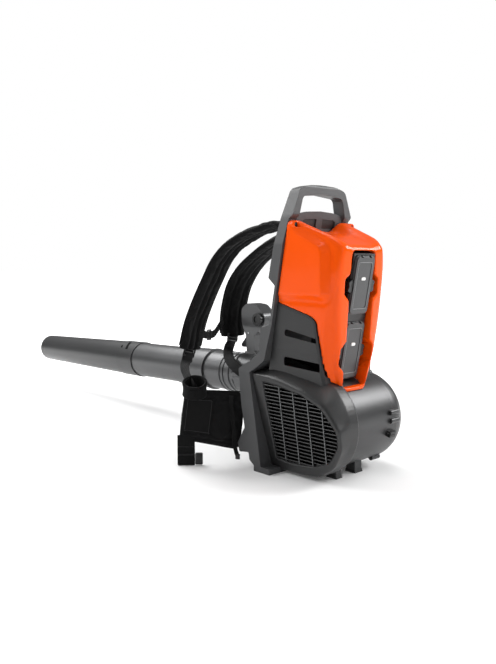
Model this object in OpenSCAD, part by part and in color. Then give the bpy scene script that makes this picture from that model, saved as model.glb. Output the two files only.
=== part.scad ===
// Backpack leaf blower driven by two slide-in batteries.
// X points back from the wearer, Y to the wearer's right, Z up; the floor is Z = 0.

/* [Frame] */
// Lean of the upper frame and the battery stack, in degrees
lean = 10; // [9:0.5:11]
// Half width of the frame at its foot
base_half = 112; // [110:1:114]
// Half width of the frame at the shoulder pads
shoulder_half = 101; // [99:1:103]
// Height of the top of the carry handle
handle_top = 590; // [584:1:598]
// Thickness of the handle bar, top to bottom
handle_bar = 19; // [16:1:22]
// Depth of the frame where the handle grows out of it
handle_depth = 26; // [24:1:30]
// Thickness of the frame's back wall
frame_wall = 5; // [4:0.5:6]
// Thickness of the frame's side flanges
flange_wall = 7; // [6:0.5:9]
// Height of the foot rail
rail_h = 12; // [10:1:13]

/* [Fan housing] */
// Outer radius of the drum
drum_r = 95; // [93:0.5:96]
// Distance of the drum axis behind the front foot
drum_x = 85; // [84:0.5:87]
// Height of the drum axis
drum_z = 108; // [107:0.5:110]
// Where the drum meets the intake cover, across the machine
drum_near = -34; // [-36:0.5:-34]
// Where the two halves of the scroll meet
scroll_split = 90; // [89:0.5:92]
// Far end of the scroll
scroll_far = 151; // [150.5:0.5:154]
// Rounding of the far end of the scroll
scroll_round = 50; // [44:1:54]
// Wall of the fan housing
drum_wall = 3; // [2.5:0.25:3.5]
// Outer radius of the outlet duct
duct_r = 52; // [51:0.5:52.5]

/* [Air tube] */
// Offset of the tube axis to the wearer's right
tube_y = 95; // [94:0.5:97]
// Height of the outlet axis
tube_z = 161; // [160:0.5:163]
// Outer radius of the air tubes
tube_r = 49; // [48:0.5:49.5]
// Wall of the air tubes
tube_wall = 2; // [2:0.25:3]
// Droop of the tube at rest, in degrees
droop = 1.4; // [1:0.1:2]
// Length of the nozzle
nozzle_len = 577; // [540:1:610]
// Outer radius of the nozzle at its mouth
nozzle_r = 42; // [40:0.5:44]
// Wall of the nozzle
nozzle_wall = 2; // [1.75:0.25:2.5]
// Number of folds in the bellows
bellows_folds = 9; // [7:1:11]
// Outer radius of the bellows folds
bellows_r = 60; // [58.5:0.5:61]

/* [Battery] */
// Width of a battery
batt_w = 58; // [56:0.5:59]
// Height of a battery
batt_h = 116; // [112:0.5:117]
// Depth of a battery
batt_d = 78; // [74:1:80]
// Distance between the two batteries' centres
batt_pitch = 132; // [130:0.5:134]
// Height of the lower battery's centre along the lean
batt_low = 280; // [279:0.5:281]
// Running gap round a battery in its bay
batt_gap = 0.5; // [0.4:0.05:0.8]
// Travel of a battery latch
latch_travel = 3; // [2:0.25:3.5]
// Travel of an indicator button
button_travel = 1; // [0.6:0.1:1.2]

/* [Core] */
// Wall of the battery cover and side housings
core_wall = 3; // [2.5:0.25:3.5]
// Width of the seal between cover and housings
seal_w = 4; // [3:0.5:5]

/* [Intake] */
// Where the top of the intake face lies, across the machine
face_y = -108; // [-110:0.5:-106]
// Inward tuck of the intake face towards the floor, in degrees
face_tuck = 8.5; // [7:0.5:10]
// Radius of the cover's rim round the drum
rim_r = 101; // [99:0.5:102]
// Number of louvres in the grille
louvres = 21; // [18:1:24]
// Thickness of one louvre
louvre_t = 1.8; // [1.4:0.1:2.2]

/* [Fan] */
// Radius of the fan wheel
wheel_r = 78; // [74:1:80]
// Width of the fan wheel
wheel_w = 62; // [56:1:66]
// Number of blades
blades = 13; // [11:1:15]
// Radius of the eye of the fan
eye_r = 48; // [46:1:50]
// Radius of the motor can
motor_r = 34; // [32:1:36]
// Length of the motor can
motor_len = 52; // [48:1:54]
// Radius of the shaft
shaft_r = 5; // [4.5:0.25:5.5]

/* [Grip] */
// Width of the grip's head
grip_w = 38; // [36:1:40]
// Width of the grip's stem
stem_w = 30; // [28:1:32]
// Wall of the grip shells
grip_wall = 2.5; // [2:0.25:3]
// Width of the trigger
trigger_w = 11; // [9:0.5:12]
// Radius of the cruise dial
dial_r = 15.5; // [14:0.5:16.5]

/* [Harness] */
// Width of a shoulder pad
pad_w = 62; // [58:1:66]
// Thickness of a shoulder pad
pad_t = 16; // [14:1:18]
// Width of the shoulder webbing
web_w = 25; // [22:1:28]
// Thickness of the webbing
web_t = 2.4; // [2:0.2:3]
// Thickness of a hip pad
hip_t = 15; // [13:1:17]

/* [Hidden] */

gap = 0.3;          // clearance between separate pieces
big = 400;          // longer than any cut needs
$fn = 48;

dark = "#3c3d3f";
grey = "#56585a";
mid_grey = "#6b6d70";
orange = "#f2581c";
black = "#1c1c1e";
steel = "#b8bcc0";

// ---------- outlines ----------
function unit(v) = v / norm(v);
// Points that round corner b between a and c with radius r
function corner(a, b, c, r, n) =
  r <= 0 ? [b] :
  let(u = unit(a - b), v = unit(c - b),
      half = acos(max(-1, min(1, u * v))) / 2,
      centre = b + unit(u + v) * r / sin(half),
      s = b + u * r / tan(half) - centre,
      e = b + v * r / tan(half) - centre,
      a0 = atan2(s[1], s[0]),
      turn = atan2(e[1], e[0]) - a0,
      sweep = turn > 180 ? turn - 360 : turn < -180 ? turn + 360 : turn)
  [for (i = [0:n]) centre + r * [cos(a0 + sweep * i / n), sin(a0 + sweep * i / n)]];
// Polygon of [x, y, radius] corners with each corner rounded
function rounded(p, n = 4) =
  let(k = len(p))
  [for (i = [0:k - 1]) each corner([p[(i + k - 1) % k][0], p[(i + k - 1) % k][1]],
    [p[i][0], p[i][1]], [p[(i + 1) % k][0], p[(i + 1) % k][1]], p[i][2], n)];
function mirrored(half) =
  concat(half, [for (i = [len(half) - 1:-1:0]) [-half[i][0], half[i][1], half[i][2]]]);
function arc(c, r, a, b, n) = [for (i = [0:n]) c + r * [cos(a + (b - a) * i / n), sin(a + (b - a) * i / n)]];
function grown(p, x, y) = [for (q = p) [q[0] + sign(q[0]) * x, q[1] + y, q[2]]];

// A drawing in X and Z, pushed across the machine from y0 to y1
module across(y0, y1) translate([0, y1, 0]) rotate([90, 0, 0]) linear_extrude(y1 - y0) children();
// A drawing in Y and Z, pushed back from x0 to x1
module along(x0, x1) translate([x0, 0, 0]) rotate([90, 0, 90]) linear_extrude(x1 - x0) children();
// A cylinder across the machine
module pin_y(r, y0, y1) translate([0, y0, 0]) rotate([-90, 0, 0]) cylinder(r = r, h = y1 - y0);
// A cylinder from x0 back to x1
module pin_x(r, x0, x1, n = 48)
  translate([x0, 0, 0]) rotate([0, 90, 0]) cylinder(r = r, h = x1 - x0, $fn = n);
// A box from corner a to corner b
module block(a, b) translate(a) cube(b - a);
// The frame of the battery stack, which leans back with the upper frame
module leaning() rotate([0, lean, 0]) children();
// The frame of the swinging air tube, with its origin at the bellows' pivot
pivot_x = -118;
module tube_frame() translate([pivot_x, tube_y, tube_z]) rotate([0, -droop, 0]) children();
module drum_frame() translate([drum_x, 0, drum_z]) children();

// ---------- frame ----------
seam_lx = -39;                                        // seam plane in the leaning frame
function seam_x(z) = (seam_lx + z * sin(lean)) / cos(lean);
shelf_z = 236;                                        // top of the intake cover's front
knee_z = 207;                                         // knee of the frame above the intake
knee_x = -39;
heel_x = -5;                                          // lower end of the seam with the intake
heel_z = rail_h + 1;
seat_gap = 0.5;                                       // between frame and what stands behind it

frame_rear = [[20, 0, 0], [20, rail_h - seat_gap, 0], [heel_x - seat_gap, heel_z - seat_gap, 0],
  [knee_x - seat_gap, knee_z, 0], [-17, 221, 0], [seam_x(shelf_z) - seat_gap, shelf_z, 0],
  [seam_x(519) - seat_gap, 519, 0]];
handle_front_x = seam_x(528) - handle_depth + 4;
frame_front = [[handle_front_x, 528, 20], [4, 403, 3], [22, 388, 3], [8, 309, 2],
  [-17, 300, 3], [-15, 252, 6], [-39, 231, 4], [-73, 212, 6], [-64, 135, 20], [-54, 88, 8],
  [-76, 51, 5], [-70, 33, 4], [-42, 37, 3], [-39, 21, 2], [-26, rail_h, 1], [-26, 0, 0]];
handle_rear_x = seam_x(519) + 9;
frame_side = concat(frame_rear, [[handle_rear_x, 528, 6], [handle_rear_x + 1, handle_top, 6],
  [handle_rear_x - handle_depth + 1, handle_top, 6]], frame_front);

window_top = handle_top - handle_bar;
window_low = 499;
frame_half = [[0, handle_top, 0], [40, handle_top - 2, 80], [69, handle_top - 10, 16], [91, 526, 40],
  [shoulder_half - 1, 470, 30], [shoulder_half, 306, 0], [shoulder_half + 6, 262, 20],
  [base_half, 214, 10], [base_half, 0, 0]];
window_half = [[0, window_top, 0], [60, window_top - 5, 12], [78, window_low, 4]];

module frame_outline(inset = 0)
  polygon(rounded(mirrored([for (p = frame_half) [max(0, p[0] - inset), p[1] - inset, p[2]]])));
module frame_profile() polygon(rounded(frame_side));

flange_in = base_half - flange_wall;
pocket_low = rail_h + 10;
pocket_top = 477;
// Room in front of the frame's back wall
module frame_pocket() intersection() {
  across(-big, big) polygon(concat(
    [for (p = rounded(frame_rear)) if (p[1] > rail_h && p[1] <= 519) [p[0] - frame_wall, p[1]]],
    [[-big, 519], [-big, rail_h]]));
  along(-big, big) frame_outline(flange_wall);
  block([-big, -big, pocket_low], [big, big, pocket_top]);
}

duct_notch_r = bellows_r + 6;
cradle_y = [-22, 22];
module back_frame() color(grey) difference() {
  union() {
    difference() {
      intersection() {
        across(-base_half, base_half) frame_profile();
        along(-big, big) frame_outline();
      }
      frame_pocket();
      along(-big, big) polygon(rounded(mirrored(window_half)));
    }
    // Ribs that stiffen the back wall
    intersection() {
      across(-base_half, base_half) frame_profile();
      along(-big, big) frame_outline(2);
      union() {
        for (z = [120, 250, 312])
          leaning_rib(z);
        for (y = [-46, 20])
          frame_rib(y);
      }
    }
    // Saddle that carries the drum
    for (y = cradle_y)
      across(y - 5, y + 5) polygon([[-14, 36], [30, 26], [20, 60], [4, drum_z], [8, 165], [-36, 165]]);
  }
  drum_frame() pin_y(drum_r + gap, -60, 60);
  // Room for the pads on the wearer's hips
  translate([lumbar_x + gap, 0, 112]) block([-80, -flange_in, -86], [0, 30, 96]);
  // Passage for the outlet and its bellows
  translate([0, tube_y, tube_z]) pin_x(duct_notch_r, -big, 60);
}
module leaning_rib(z) block([seam_x(z) - 24, -base_half, z - 2], [seam_x(z) - 3, base_half, z + 2]);
module frame_rib(y) block([-90, y - 2, pocket_low - 2], [70, y + 2, 322]);

vent_z = [503, 521];
module top_vent_panel() color(grey) difference() {
  intersection() {
    leaning() block([seam_lx - 7, -90, 490], [seam_lx - 1, 90, 560]);
    along(-big, big) polygon(rounded(grown(mirrored(
      [[0, 538, 0], [40, 536, 60], [66, 531, 4], [76.6, window_low + gap, 2]]), -gap, 0)));
  }
  for (s = [-1, 1])
    along(-big, big) polygon([[s * 9, vent_z[0]], [s * 50, vent_z[0]], [s * 50, vent_z[1] - 3],
      [s * 44, vent_z[1]], [s * 9, vent_z[1] + 1]]);
}

// ---------- pads against the wearer ----------
// Cushion on the face x = 0 of its own frame: crowned, with drawn-in sides and sewn channels
function cushion_point(w, h, t, u, v) =
  let(edge = pow(max(0, 1 - pow(abs(u), 4)), 0.5) * pow(max(0, 1 - pow(abs(v), 4)), 0.5),
      channel = 0.22 * exp(-pow((abs(v) - 0.36) / 0.05, 2)),
      draw = 1 - 0.045 * (1 - pow(abs(u), 2)) * (abs(v) > 0.99 ? 1 : 0))
  [-t * (0.16 + 0.84 * edge * (1 - channel)), u * w / 2 * (1 - 0.03 * (1 - v * v)), v * h / 2 * draw];
module cushion(w, h, t, nu = 14, nv = 20) {
  front = [for (j = [0:nv]) for (i = [0:nu]) cushion_point(w, h, t, 2 * i / nu - 1, 2 * j / nv - 1)];
  back = [for (p = front) [0, p[1], p[2]]];
  m = nu + 1;
  n = len(front);
  rim = concat([for (i = [0:nu - 1]) i], [for (j = [0:nv - 1]) j * m + nu],
    [for (i = [nu:-1:1]) nv * m + i], [for (j = [nv:-1:1]) j * m]);
  k = len(rim);
  polyhedron(concat(front, back), concat(
    [for (j = [0:nv - 1]) for (i = [0:nu - 1]) each
      [[j * m + i, j * m + i + 1, (j + 1) * m + i + 1], [j * m + i, (j + 1) * m + i + 1, (j + 1) * m + i]]],
    [for (j = [0:nv - 1]) for (i = [0:nu - 1]) each
      [[n + j * m + i, n + (j + 1) * m + i + 1, n + j * m + i + 1],
       [n + j * m + i, n + (j + 1) * m + i, n + (j + 1) * m + i + 1]]],
    [for (i = [0:k - 1]) each
      [[rim[i], n + rim[i], n + rim[(i + 1) % k]], [rim[i], n + rim[(i + 1) % k], rim[(i + 1) % k]]]]));
}

module back_pad() color(black)
  leaning() translate([seam_lx - frame_wall - seat_gap - gap, 0, 398])
    cushion(2 * (shoulder_half - flange_wall) - 6, 128, 24);
lumbar_x = -62;
lumbar_y = [-97, 13];
module lumbar_pad() color(black)
  translate([lumbar_x, (lumbar_y[0] + lumbar_y[1]) / 2, 118])
    cushion(lumbar_y[1] - lumbar_y[0], 150, 18, 12, 16);

// ---------- core ----------
// Rings of the core: [z at the seam, half width in front, at the panel's end, behind it, rear, slope]
core_rows = [[168, 92, 74, 64, 45, 0], [192, 92, 76, 68, 53, 0], [222, 92, 78, 72, 61, -0.03],
  [262, 92, 79, 75, 69, -0.07], [305, 92, 81, 78, 74, -0.12], [352, 92, 82, 80, 77, -0.15],
  [368, 95, 90, 82, 78, -0.15], [420, 95, 90, 81, 77, -0.1], [452, 94, 89, 80, 74, -0.05],
  [474, 93, 87, 77, 68, 0], [498, 92, 84, 73, 63, 0], [525, 90, 80, 70, 59, 0]];
panel_x = 134;
function rear_x(z) = 137.3 + 0.0691 * z;
rear_round = 15;
function core_half(row, t, x0) =
  let(x1 = rear_x(row[0]) - t, xp = min(panel_x, x1 - 26))
  concat([[x0, row[1] - t], [xp, row[2] - t], [xp + 7, row[3] - t],
    [x1 - rear_round - 3, row[4] - t + 1]],
    arc([x1 - rear_round, row[4] - t - rear_round], rear_round, 80, 0, 4),
    [[x1 + 1, row[4] * 0.4]]);
function core_ring(row, t, x0) =
  let(half = core_half(row, t, x0), pts = concat([for (p = half) [p[0], -p[1]]], reversed(half)))
  [for (p = pts) [p[0], p[1], row[0] + row[5] * (p[0] - seam_x(row[0]))]];
function reversed(p) = [for (i = [len(p) - 1:-1:0]) p[i]];
// Solid between rings of equally many points, stacked in height
module stack(rings) {
  m = len(rings[0]);
  n = len(rings);
  polyhedron([for (r = rings) each r], concat(
    [[for (i = [0:m - 1]) i]],
    [for (j = [0:n - 2]) for (i = [0:m - 1]) each
      [[j * m + i, (j + 1) * m + i, (j + 1) * m + (i + 1) % m],
       [j * m + i, (j + 1) * m + (i + 1) % m, j * m + (i + 1) % m]]],
    [[for (i = [m - 1:-1:0]) (n - 1) * m + i]]));
}
module core_solid(t) stack([for (r = core_rows) core_ring(r, t, seam_x(r[0]) - 30)]);
// The side and rear walls as one band, open to the front
module core_band() {
  outer = [for (r = core_rows) core_ring(r, 0, seam_x(r[0]))];
  inner = [for (r = core_rows) core_ring(r, core_wall, seam_x(r[0]))];
  m = len(outer[0]);
  n = len(outer);
  k = m * n;
  polyhedron(concat([for (r = outer) each r], [for (r = inner) each r]), concat(
    [for (j = [0:n - 2]) for (i = [0:m - 2]) each
      [[j * m + i, (j + 1) * m + i, (j + 1) * m + i + 1], [j * m + i, (j + 1) * m + i + 1, j * m + i + 1],
       [k + j * m + i, k + (j + 1) * m + i + 1, k + (j + 1) * m + i],
       [k + j * m + i, k + j * m + i + 1, k + (j + 1) * m + i + 1]]],
    [for (j = [0:n - 2]) each
      [[j * m, k + (j + 1) * m, (j + 1) * m], [j * m, k + j * m, k + (j + 1) * m],
       [j * m + m - 1, (j + 1) * m + m - 1, k + (j + 1) * m + m - 1],
       [j * m + m - 1, k + (j + 1) * m + m - 1, k + j * m + m - 1]]],
    [for (i = [0:m - 2]) each
      [[i, i + 1, k + i + 1], [i, k + i + 1, k + i],
       [k - m + i, k + k - m + i + 1, k - m + i + 1], [k - m + i, k + k - m + i, k + k - m + i + 1]]]));
}
// The roof of the core, from the handle down to the rear edge
roof = [[-60, 519], [52, 518], [68, 511], [132, 487], [155, 477], [167, 469], [175, 456], [260, 430]];
module roof_cut(drop) across(-big, big) translate([-drop * 0.9, -drop])
  polygon(concat(roof, [[260, 0], [-60, 0]]));
// The valley between the two ridges of the roof
module valley(t) intersection() {
  across(-big, big) polygon([[-60, 501 - t], [58, 497 - t], [164, 466 - t], [200, 458 - t],
    [200, 560], [-60, 560]]);
  along(-60, 200) polygon([[-50 - t, 440], [50 + t, 440], [68 + t, 540], [-68 - t, 540]]);
}
// Everything above the roof
module roof_top() {
  across(-big, big) polygon(concat(roof, [[260, 700], [-60, 700]]));
  valley(0);
}
module behind_seam() leaning() block([seam_lx, -big, -big], [big, big, big]);
module core_roof() intersection() {
  core_solid(core_wall / 2);
  behind_seam();
  difference() {
    roof_cut(0);
    difference() {
      roof_cut(core_wall);
      valley(core_wall);
    }
    valley(0);
  }
}

// Where housing and cover meet, seen from the side
split = [[seam_x(350), 350, 0], [97, 327, 8], [111, 319, 10], [120, 260, 0], [127, 207, 0], [135, 168, 0]];
split_line = rounded(concat([[-60, 352, 0]], split, [[135, 100, 0]]));
split_pts = [for (i = [0:len(split_line) - 1]) split_line[i]];
module housing_region() polygon(concat([[-60, 100]], [for (p = split_pts) if (p[1] > 100) p], [[135, 100]]));
module cover_region() difference() {
  translate([-60, 100]) square([300, 460]);
  offset(delta = seal_w + 2 * gap) housing_region();
}

module drum_clear() drum_frame() pin_y(drum_r + 2 * gap, -70, 220);

slot_1 = [[40, 302, 5], [119, 286, 0], [119, 277, 0], [40, 288, 5]];
slot_2 = [[37, 246, 5], [124, 238, 0], [124, 221, 0], [37, 228, 5]];
module side_housing(s) color(mid_grey) difference() {
  intersection() {
    core_band();
    across(s < 0 ? -big : 60, s < 0 ? -56 : big) housing_region();
  }
  intake_solid(-gap);
  drum_clear();
  translate([0, tube_y, tube_z]) pin_x(duct_r + 1, -60, 200);
  block([-60, 40, 100], [200, 200, tube_z]);
  for (p = [slot_1, slot_2])
    across(s < 0 ? -big : 40, s < 0 ? -40 : big) polygon(rounded(p));
}
module side_housing_left() side_housing(-1);
module side_housing_right() side_housing(1);

// The rear opening, in Y and height along the lean
opening = [[36, 479, 10], [37.5, 434, 4], [51, 424.5, 4], [51, 395.5, 4], [37, 383.5, 4], [36.5, 302.5, 4],
  [50.5, 289.5, 4], [50.5, 257.5, 4], [38, 243.5, 4], [35, 207.5, 6]];
module opening_shape(t) polygon(rounded(mirrored([for (p = opening)
  [p[0] + t, p[1] + (p[1] > 440 ? t : p[1] < 220 ? -t : 0), p[2]]])));
collar_lx = 70;
boss_y = 86;
boss_z = 508;
module battery_cover() color(orange) difference() {
  union() {
    intersection() {
      core_band();
      across(-big, big) cover_region();
    }
    core_roof();
    // Walls of the battery opening
    intersection() {
      core_solid(core_wall / 2);
      leaning() along(collar_lx, 160) opening_shape(core_wall - 0.5);
    }
    for (s = [-1, 1])
      translate([0, s * boss_y, boss_z]) pin_x(8, seam_x(boss_z) + 1.6, 68);
  }
  roof_top();
  leaning() along(collar_lx - 1, big) opening_shape(0);
  for (s = [-1, 1])
    translate([0, s * boss_y, boss_z]) {
      pin_x(2.6, 30, 90);
      pin_x(5, 63, 90);
    }
  drum_clear();
  intake_solid(-gap);
  across(drum_near - 1, drum_near + plate_t + gap) polygon(rim_outline(-gap));
}
module cover_seal() color(black) difference() {
  intersection() {
    core_band();
    across(-big, big) difference() {
      offset(delta = seal_w + gap) housing_region();
      offset(delta = gap) housing_region();
    }
    block([seam_x(345), -big, 150], [big, big, 400]);
  }
  intake_solid(-gap);
  drum_clear();
  block([seam_x(0), -30, 0], [big, 30, 400]);
}
// Screws of the battery cover and of the scroll
module housing_screws() color(steel) {
  for (s = [-1, 1])
    translate([0, s * boss_y, boss_z]) {
      pin_x(2.5, seam_x(boss_z) + gap, 63.2);
      pin_x(4.6, 63 + gap / 3, 66);
    }
  scroll_bosses(1.9, scroll_split - 10, scroll_split + 12.1);
  scroll_bosses(3.2, scroll_split + 12.1, scroll_split + 15);
}

// ---------- batteries ----------
batt_lx = 94;                                         // outer face of the batteries
batt_high = batt_low + batt_pitch;
batt_in = batt_lx - batt_d;
tray_wall = 3;
latch_up = -2;                                        // latch height from the battery's centre
module batt_outline(t) polygon(rounded(mirrored(
  [[batt_w / 2 + t, batt_h / 2 + t, 8], [batt_w / 2 + t, -batt_h / 2 - t, 8]])));

tray_low = batt_low - batt_h / 2 - batt_gap - tray_wall;
tray_high = batt_high + batt_h / 2 + batt_gap + tray_wall;
tray_half = batt_w / 2 + batt_gap + tray_wall;
tray_in = batt_in - 1 - tray_wall;
tray_out = batt_lx - 6;
contact_lz = -20;                                     // contacts from the battery's centre
module battery_tray() color(dark) leaning() difference() {
  union() {
    block([tray_in, -tray_half, tray_low], [tray_out, tray_half, tray_high]);
    block([tray_out - 12, -35.2, tray_low + 16], [tray_out - 9, 35.2, tray_high - 6]);
    // Posts that reach the frame
    for (s = [-1, 1])
      for (z = [tray_low + 12, (batt_low + batt_high) / 2, tray_high - 10])
        translate([0, s * (tray_half - 5), z]) pin_x(5, seam_lx, tray_in + 0.1);
  }
  for (z = [batt_low, batt_high]) {
    translate([0, 0, z]) along(batt_in - 1, big) batt_outline(batt_gap);
    // Room for the latches
    block([tray_out - 22, -60, z + latch_up - 15], [big, 60, z + latch_up + 15]);
    block([tray_in - 1, -12, z + contact_lz - 9], [batt_in, 12, z + contact_lz + 9]);
  }
}
module bay_contacts() color(black) leaning()
  for (z = [batt_low, batt_high])
    translate([0, 0, z + contact_lz]) {
      block([tray_in - 4, -11.8, -8.8], [batt_in - 1.2, 11.8, 8.8]);
      for (y = [-7, 0, 7])
        block([batt_in - 1.3, y - 0.6, -6], [batt_in + 9, y + 0.6, 6]);
    }
module motor_controller() color("#2f5a3a") leaning()
  difference() {
    block([tray_in - 7, -22.5, batt_low - 30], [tray_in - gap / 3, 22.5, batt_high + 40]);
    for (z = [batt_low, batt_high])
      block([tray_in - 9, -14, z + contact_lz - 11], [tray_in, 14, z + contact_lz + 11]);
  }
fin_t = 2;
module heat_sink() color(steel) leaning() {
  block([tray_in - 11, -22, batt_low + 8], [tray_in - 7 - gap / 3, 22, batt_high - 34]);
  for (y = [-20:8:20])
    block([tray_in - 27, y - fin_t / 2, batt_low + 8], [tray_in - 10.9, y + fin_t / 2, batt_high - 34]);
}

// Cells: two columns in rows above and below the socket
cell_r = 10.4;
cell_y = cell_r + 0.2;
cell_rows = [42.3, 21.3, 0.3, -42.4];
cell_end = batt_lx - 5;                               // front end of the room for the cells
module cell_room(low, high)
  block([batt_in + 2.5, -cell_y - cell_r - gap, low - cell_r - 0.2],
    [cell_end, cell_y + cell_r + gap, high + cell_r + 0.2]);
module cells(z) color(steel) leaning() translate([0, 0, z])
  for (h = cell_rows)
    for (s = [-1, 1])
      translate([0, s * cell_y, h]) pin_x(cell_r, batt_in + 2.5 + gap, cell_end - gap);
module battery_upper_cells() cells(batt_high);
module battery_lower_cells() cells(batt_low);
module battery(z) color("#4a4c4f") leaning() translate([0, 0, z]) difference() {
  union() {
    along(batt_in, batt_lx - 3) batt_outline(0);
    along(batt_lx - 3.1, batt_lx) batt_outline(-2);
  }
  // Recessed panel on the face
  along(batt_lx - 1, batt_lx + 2) polygon(rounded(mirrored([[20, 44, 6], [20, -46, 6]])));
  cell_room(cell_rows[2], cell_rows[0]);
  cell_room(cell_rows[3], cell_rows[3]);
  // Button well
  along(batt_lx - 4, batt_lx + 2) translate([0, 13])
    polygon(rounded(mirrored([[6.3, 3.3, 3], [6.3, -3.3, 3]])));
  // Latch wells
  for (s = [-1, 1])
    block([batt_lx - 18.3, s > 0 ? batt_w / 2 - 6 : -batt_w / 2 - 1, latch_up - 12.3],
      [batt_lx - 1.7, s > 0 ? batt_w / 2 + 1 : -batt_w / 2 + 6, latch_up + 12.3]);
  // Socket for the contacts
  block([batt_in - 1, -11, contact_lz - 8], [batt_in + 12, 11, contact_lz + 8]);
  // Grip grooves across the top
  for (y = [-13, 13])
    block([batt_lx - 6, y - 3, batt_h / 2 - 4], [batt_lx + 1, y + 3, batt_h / 2 + 1]);
}
module battery_upper() battery(batt_high);
module battery_lower() battery(batt_low);
latch_out = 11;                                       // how far a latch stands off the battery
module latch(z, s) color(black) leaning() translate([0, s * (batt_w / 2 - 2), z + latch_up])
  mirror([0, s < 0 ? 1 : 0, 0]) intersection() {
    block([batt_lx - 18, 0, -12], [batt_lx - 2, latch_out + 2, 12]);
    along(0, big) polygon(rounded([[0, -12, 0], [latch_out - 3, -12, 3], [latch_out + 2, -8, 3],
      [latch_out - 0.5, 0, 2], [latch_out + 2, 8, 3], [latch_out - 3, 12, 3], [0, 12, 0]]));
  }
module battery_upper_latch_left() latch(batt_high, -1);
module battery_upper_latch_right() latch(batt_high, 1);
module battery_lower_latch_left() latch(batt_low, -1);
module battery_lower_latch_right() latch(batt_low, 1);
module button(z) color("white") leaning() translate([0, 0, z + 13])
  along(batt_lx - 4 + button_travel + 0.2, batt_lx + 0.4)
    polygon(rounded(mirrored([[6, 3, 2.6], [6, -3, 2.6]])));
module battery_upper_button() button(batt_high);
module battery_lower_button() button(batt_low);

// ---------- intake ----------
rim_z = 110;
face_top = 207;                                       // height where the tucked face starts
rim_band = 26;                                        // width of the straight band at the rim
function rim_outline(t) = concat(
  [[heel_x + t, heel_z + t], [knee_x + t, knee_z - t * 0.3], [-16 + t * 0.6, 221 - t],
   [6 + t, 233 - t], [48, 226 - t]],
  arc([drum_x, rim_z], rim_r - t, 80, -100, 14));
face_outline = [[heel_x, heel_z - 2, 4], [knee_x, face_top - 1, 3], [30, 199, 30], [100, 184, 60],
  [152, 161, 40], [187, 114, 26], [186, 78, 30], [160, 40, 40], [116, 16, 30], [60, 9, 40]];
grille_outline = [[11, 27, 8], [-8, 190, 4], [30, 187, 30], [98, 175, 60], [146, 154, 40], [180, 110, 26],
  [179, 80, 26], [156, 46, 30], [112, 29, 30], [55, 24, 40]];
module on_face()
  translate([0, face_y, face_top]) rotate([face_tuck, 0, 0]) translate([0, 0, -face_top]) children();
module intake_solid(t) hull() {
  on_face() across(t, 1 + abs(t)) offset(delta = -t) polygon(rounded(face_outline));
  across(drum_near - rim_band, drum_near - (t > 0 ? -5 : 0) + (t < 0 ? -t : 0)) polygon(rim_outline(t));
}
module intake_cover() color(dark) difference() {
  intake_solid(0);
  intake_solid(core_wall);
  on_face() across(-20, 20) polygon(rounded([for (p = grille_outline) [p[0], p[1], p[2]]], 5));
  drum_frame() pin_y(drum_r - drum_wall, drum_near - 6, 0);
}
grille_depth = 9;
louvre_low = 27;
louvre_high = 188;
module intake_grille() color(black) on_face() {
  intersection() {
    across(gap, grille_depth) offset(delta = -gap) polygon(rounded(grille_outline, 5));
    union() {
      for (i = [0:louvres - 1])
        translate([0, 1.2, louvre_low + (louvre_high - louvre_low) * (i + 0.5) / louvres])
          rotate([-32, 0, 0]) block([-20, 0, -louvre_t / 2], [200, 8.5, louvre_t / 2]);
      for (x = [38, 75, 112, 148])
        block([x - 1, 0.8, 0], [x + 1, grille_depth, 220]);
    }
  }
  across(core_wall + gap / 3, core_wall + 3) difference() {
    offset(delta = 2.5) polygon(rounded(grille_outline, 5));
    offset(delta = -1.5) polygon(rounded(grille_outline, 5));
  }
}

// ---------- fan housing ----------
duct_end = -40;
scroll_in = 44;                                       // inlet ring's seat
module drum_outer() {
  drum_frame() rotate([-90, 0, 0]) rotate_extrude($fn = 96) polygon(concat(
    [[0, drum_near], [drum_r, drum_near]],
    [for (p = arc([drum_r - scroll_round, scroll_far - scroll_round], scroll_round, 0, 90, 8)) p],
    [[0, scroll_far]]));
  translate([0, tube_y, tube_z]) pin_x(duct_r, duct_end, drum_x);
}
module drum_inner() {
  w = drum_wall;
  drum_frame() rotate([-90, 0, 0]) rotate_extrude($fn = 96) polygon(concat(
    [[0, drum_near - 5], [drum_r - w, drum_near - 5]],
    [for (p = arc([drum_r - scroll_round, scroll_far - scroll_round], scroll_round - w, 0, 90, 8)) p],
    [[0, scroll_far - w]]));
  translate([0, tube_y, tube_z]) pin_x(duct_r - w, duct_end - 5, drum_x);
}
plate_t = 3;                                          // plate that closes the intake cover's corners
screw_x = drum_r + 1.5;
module scroll_bosses(r, y0, y1, angles = [12, 2, 75, -60, -105]) drum_frame()
  for (a = angles)
    rotate([0, -a, 0]) translate([screw_x, 0, 0]) pin_y(r, y0, y1);
foot_x = [106, 129];
foot_y = [[-31, -15], [29, 51]];                      // near foot and far foot
lug_z = 7;
module foot_lug(i) block([foot_x[0], foot_y[i][0], lug_z], [foot_x[1], foot_y[i][1], 26]);
module fan_housing() color(dark) {
  difference() {
    union() {
      intersection() {
        drum_outer();
        block([-big, -big, -big], [big, scroll_split, big]);
      }
      difference() {
        across(drum_near + gap / 3, drum_near + plate_t) polygon(rim_outline(1));
        leaning() block([-60, -50, tray_low - 1], [big, 50, tray_high]);
      }
      scroll_bosses(5.5, scroll_split - 14, scroll_split - gap / 6);
      foot_lug(0);
      foot_lug(1);
    }
    drum_inner();
    scroll_bosses(2, scroll_split - 16, scroll_split + 1);
  }
  // Seat for the inlet ring
  drum_frame() rotate([-90, 0, 0]) rotate_extrude($fn = 96)
    translate([drum_r - drum_wall - 5, scroll_in - 3]) square([6, 3]);
}
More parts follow.
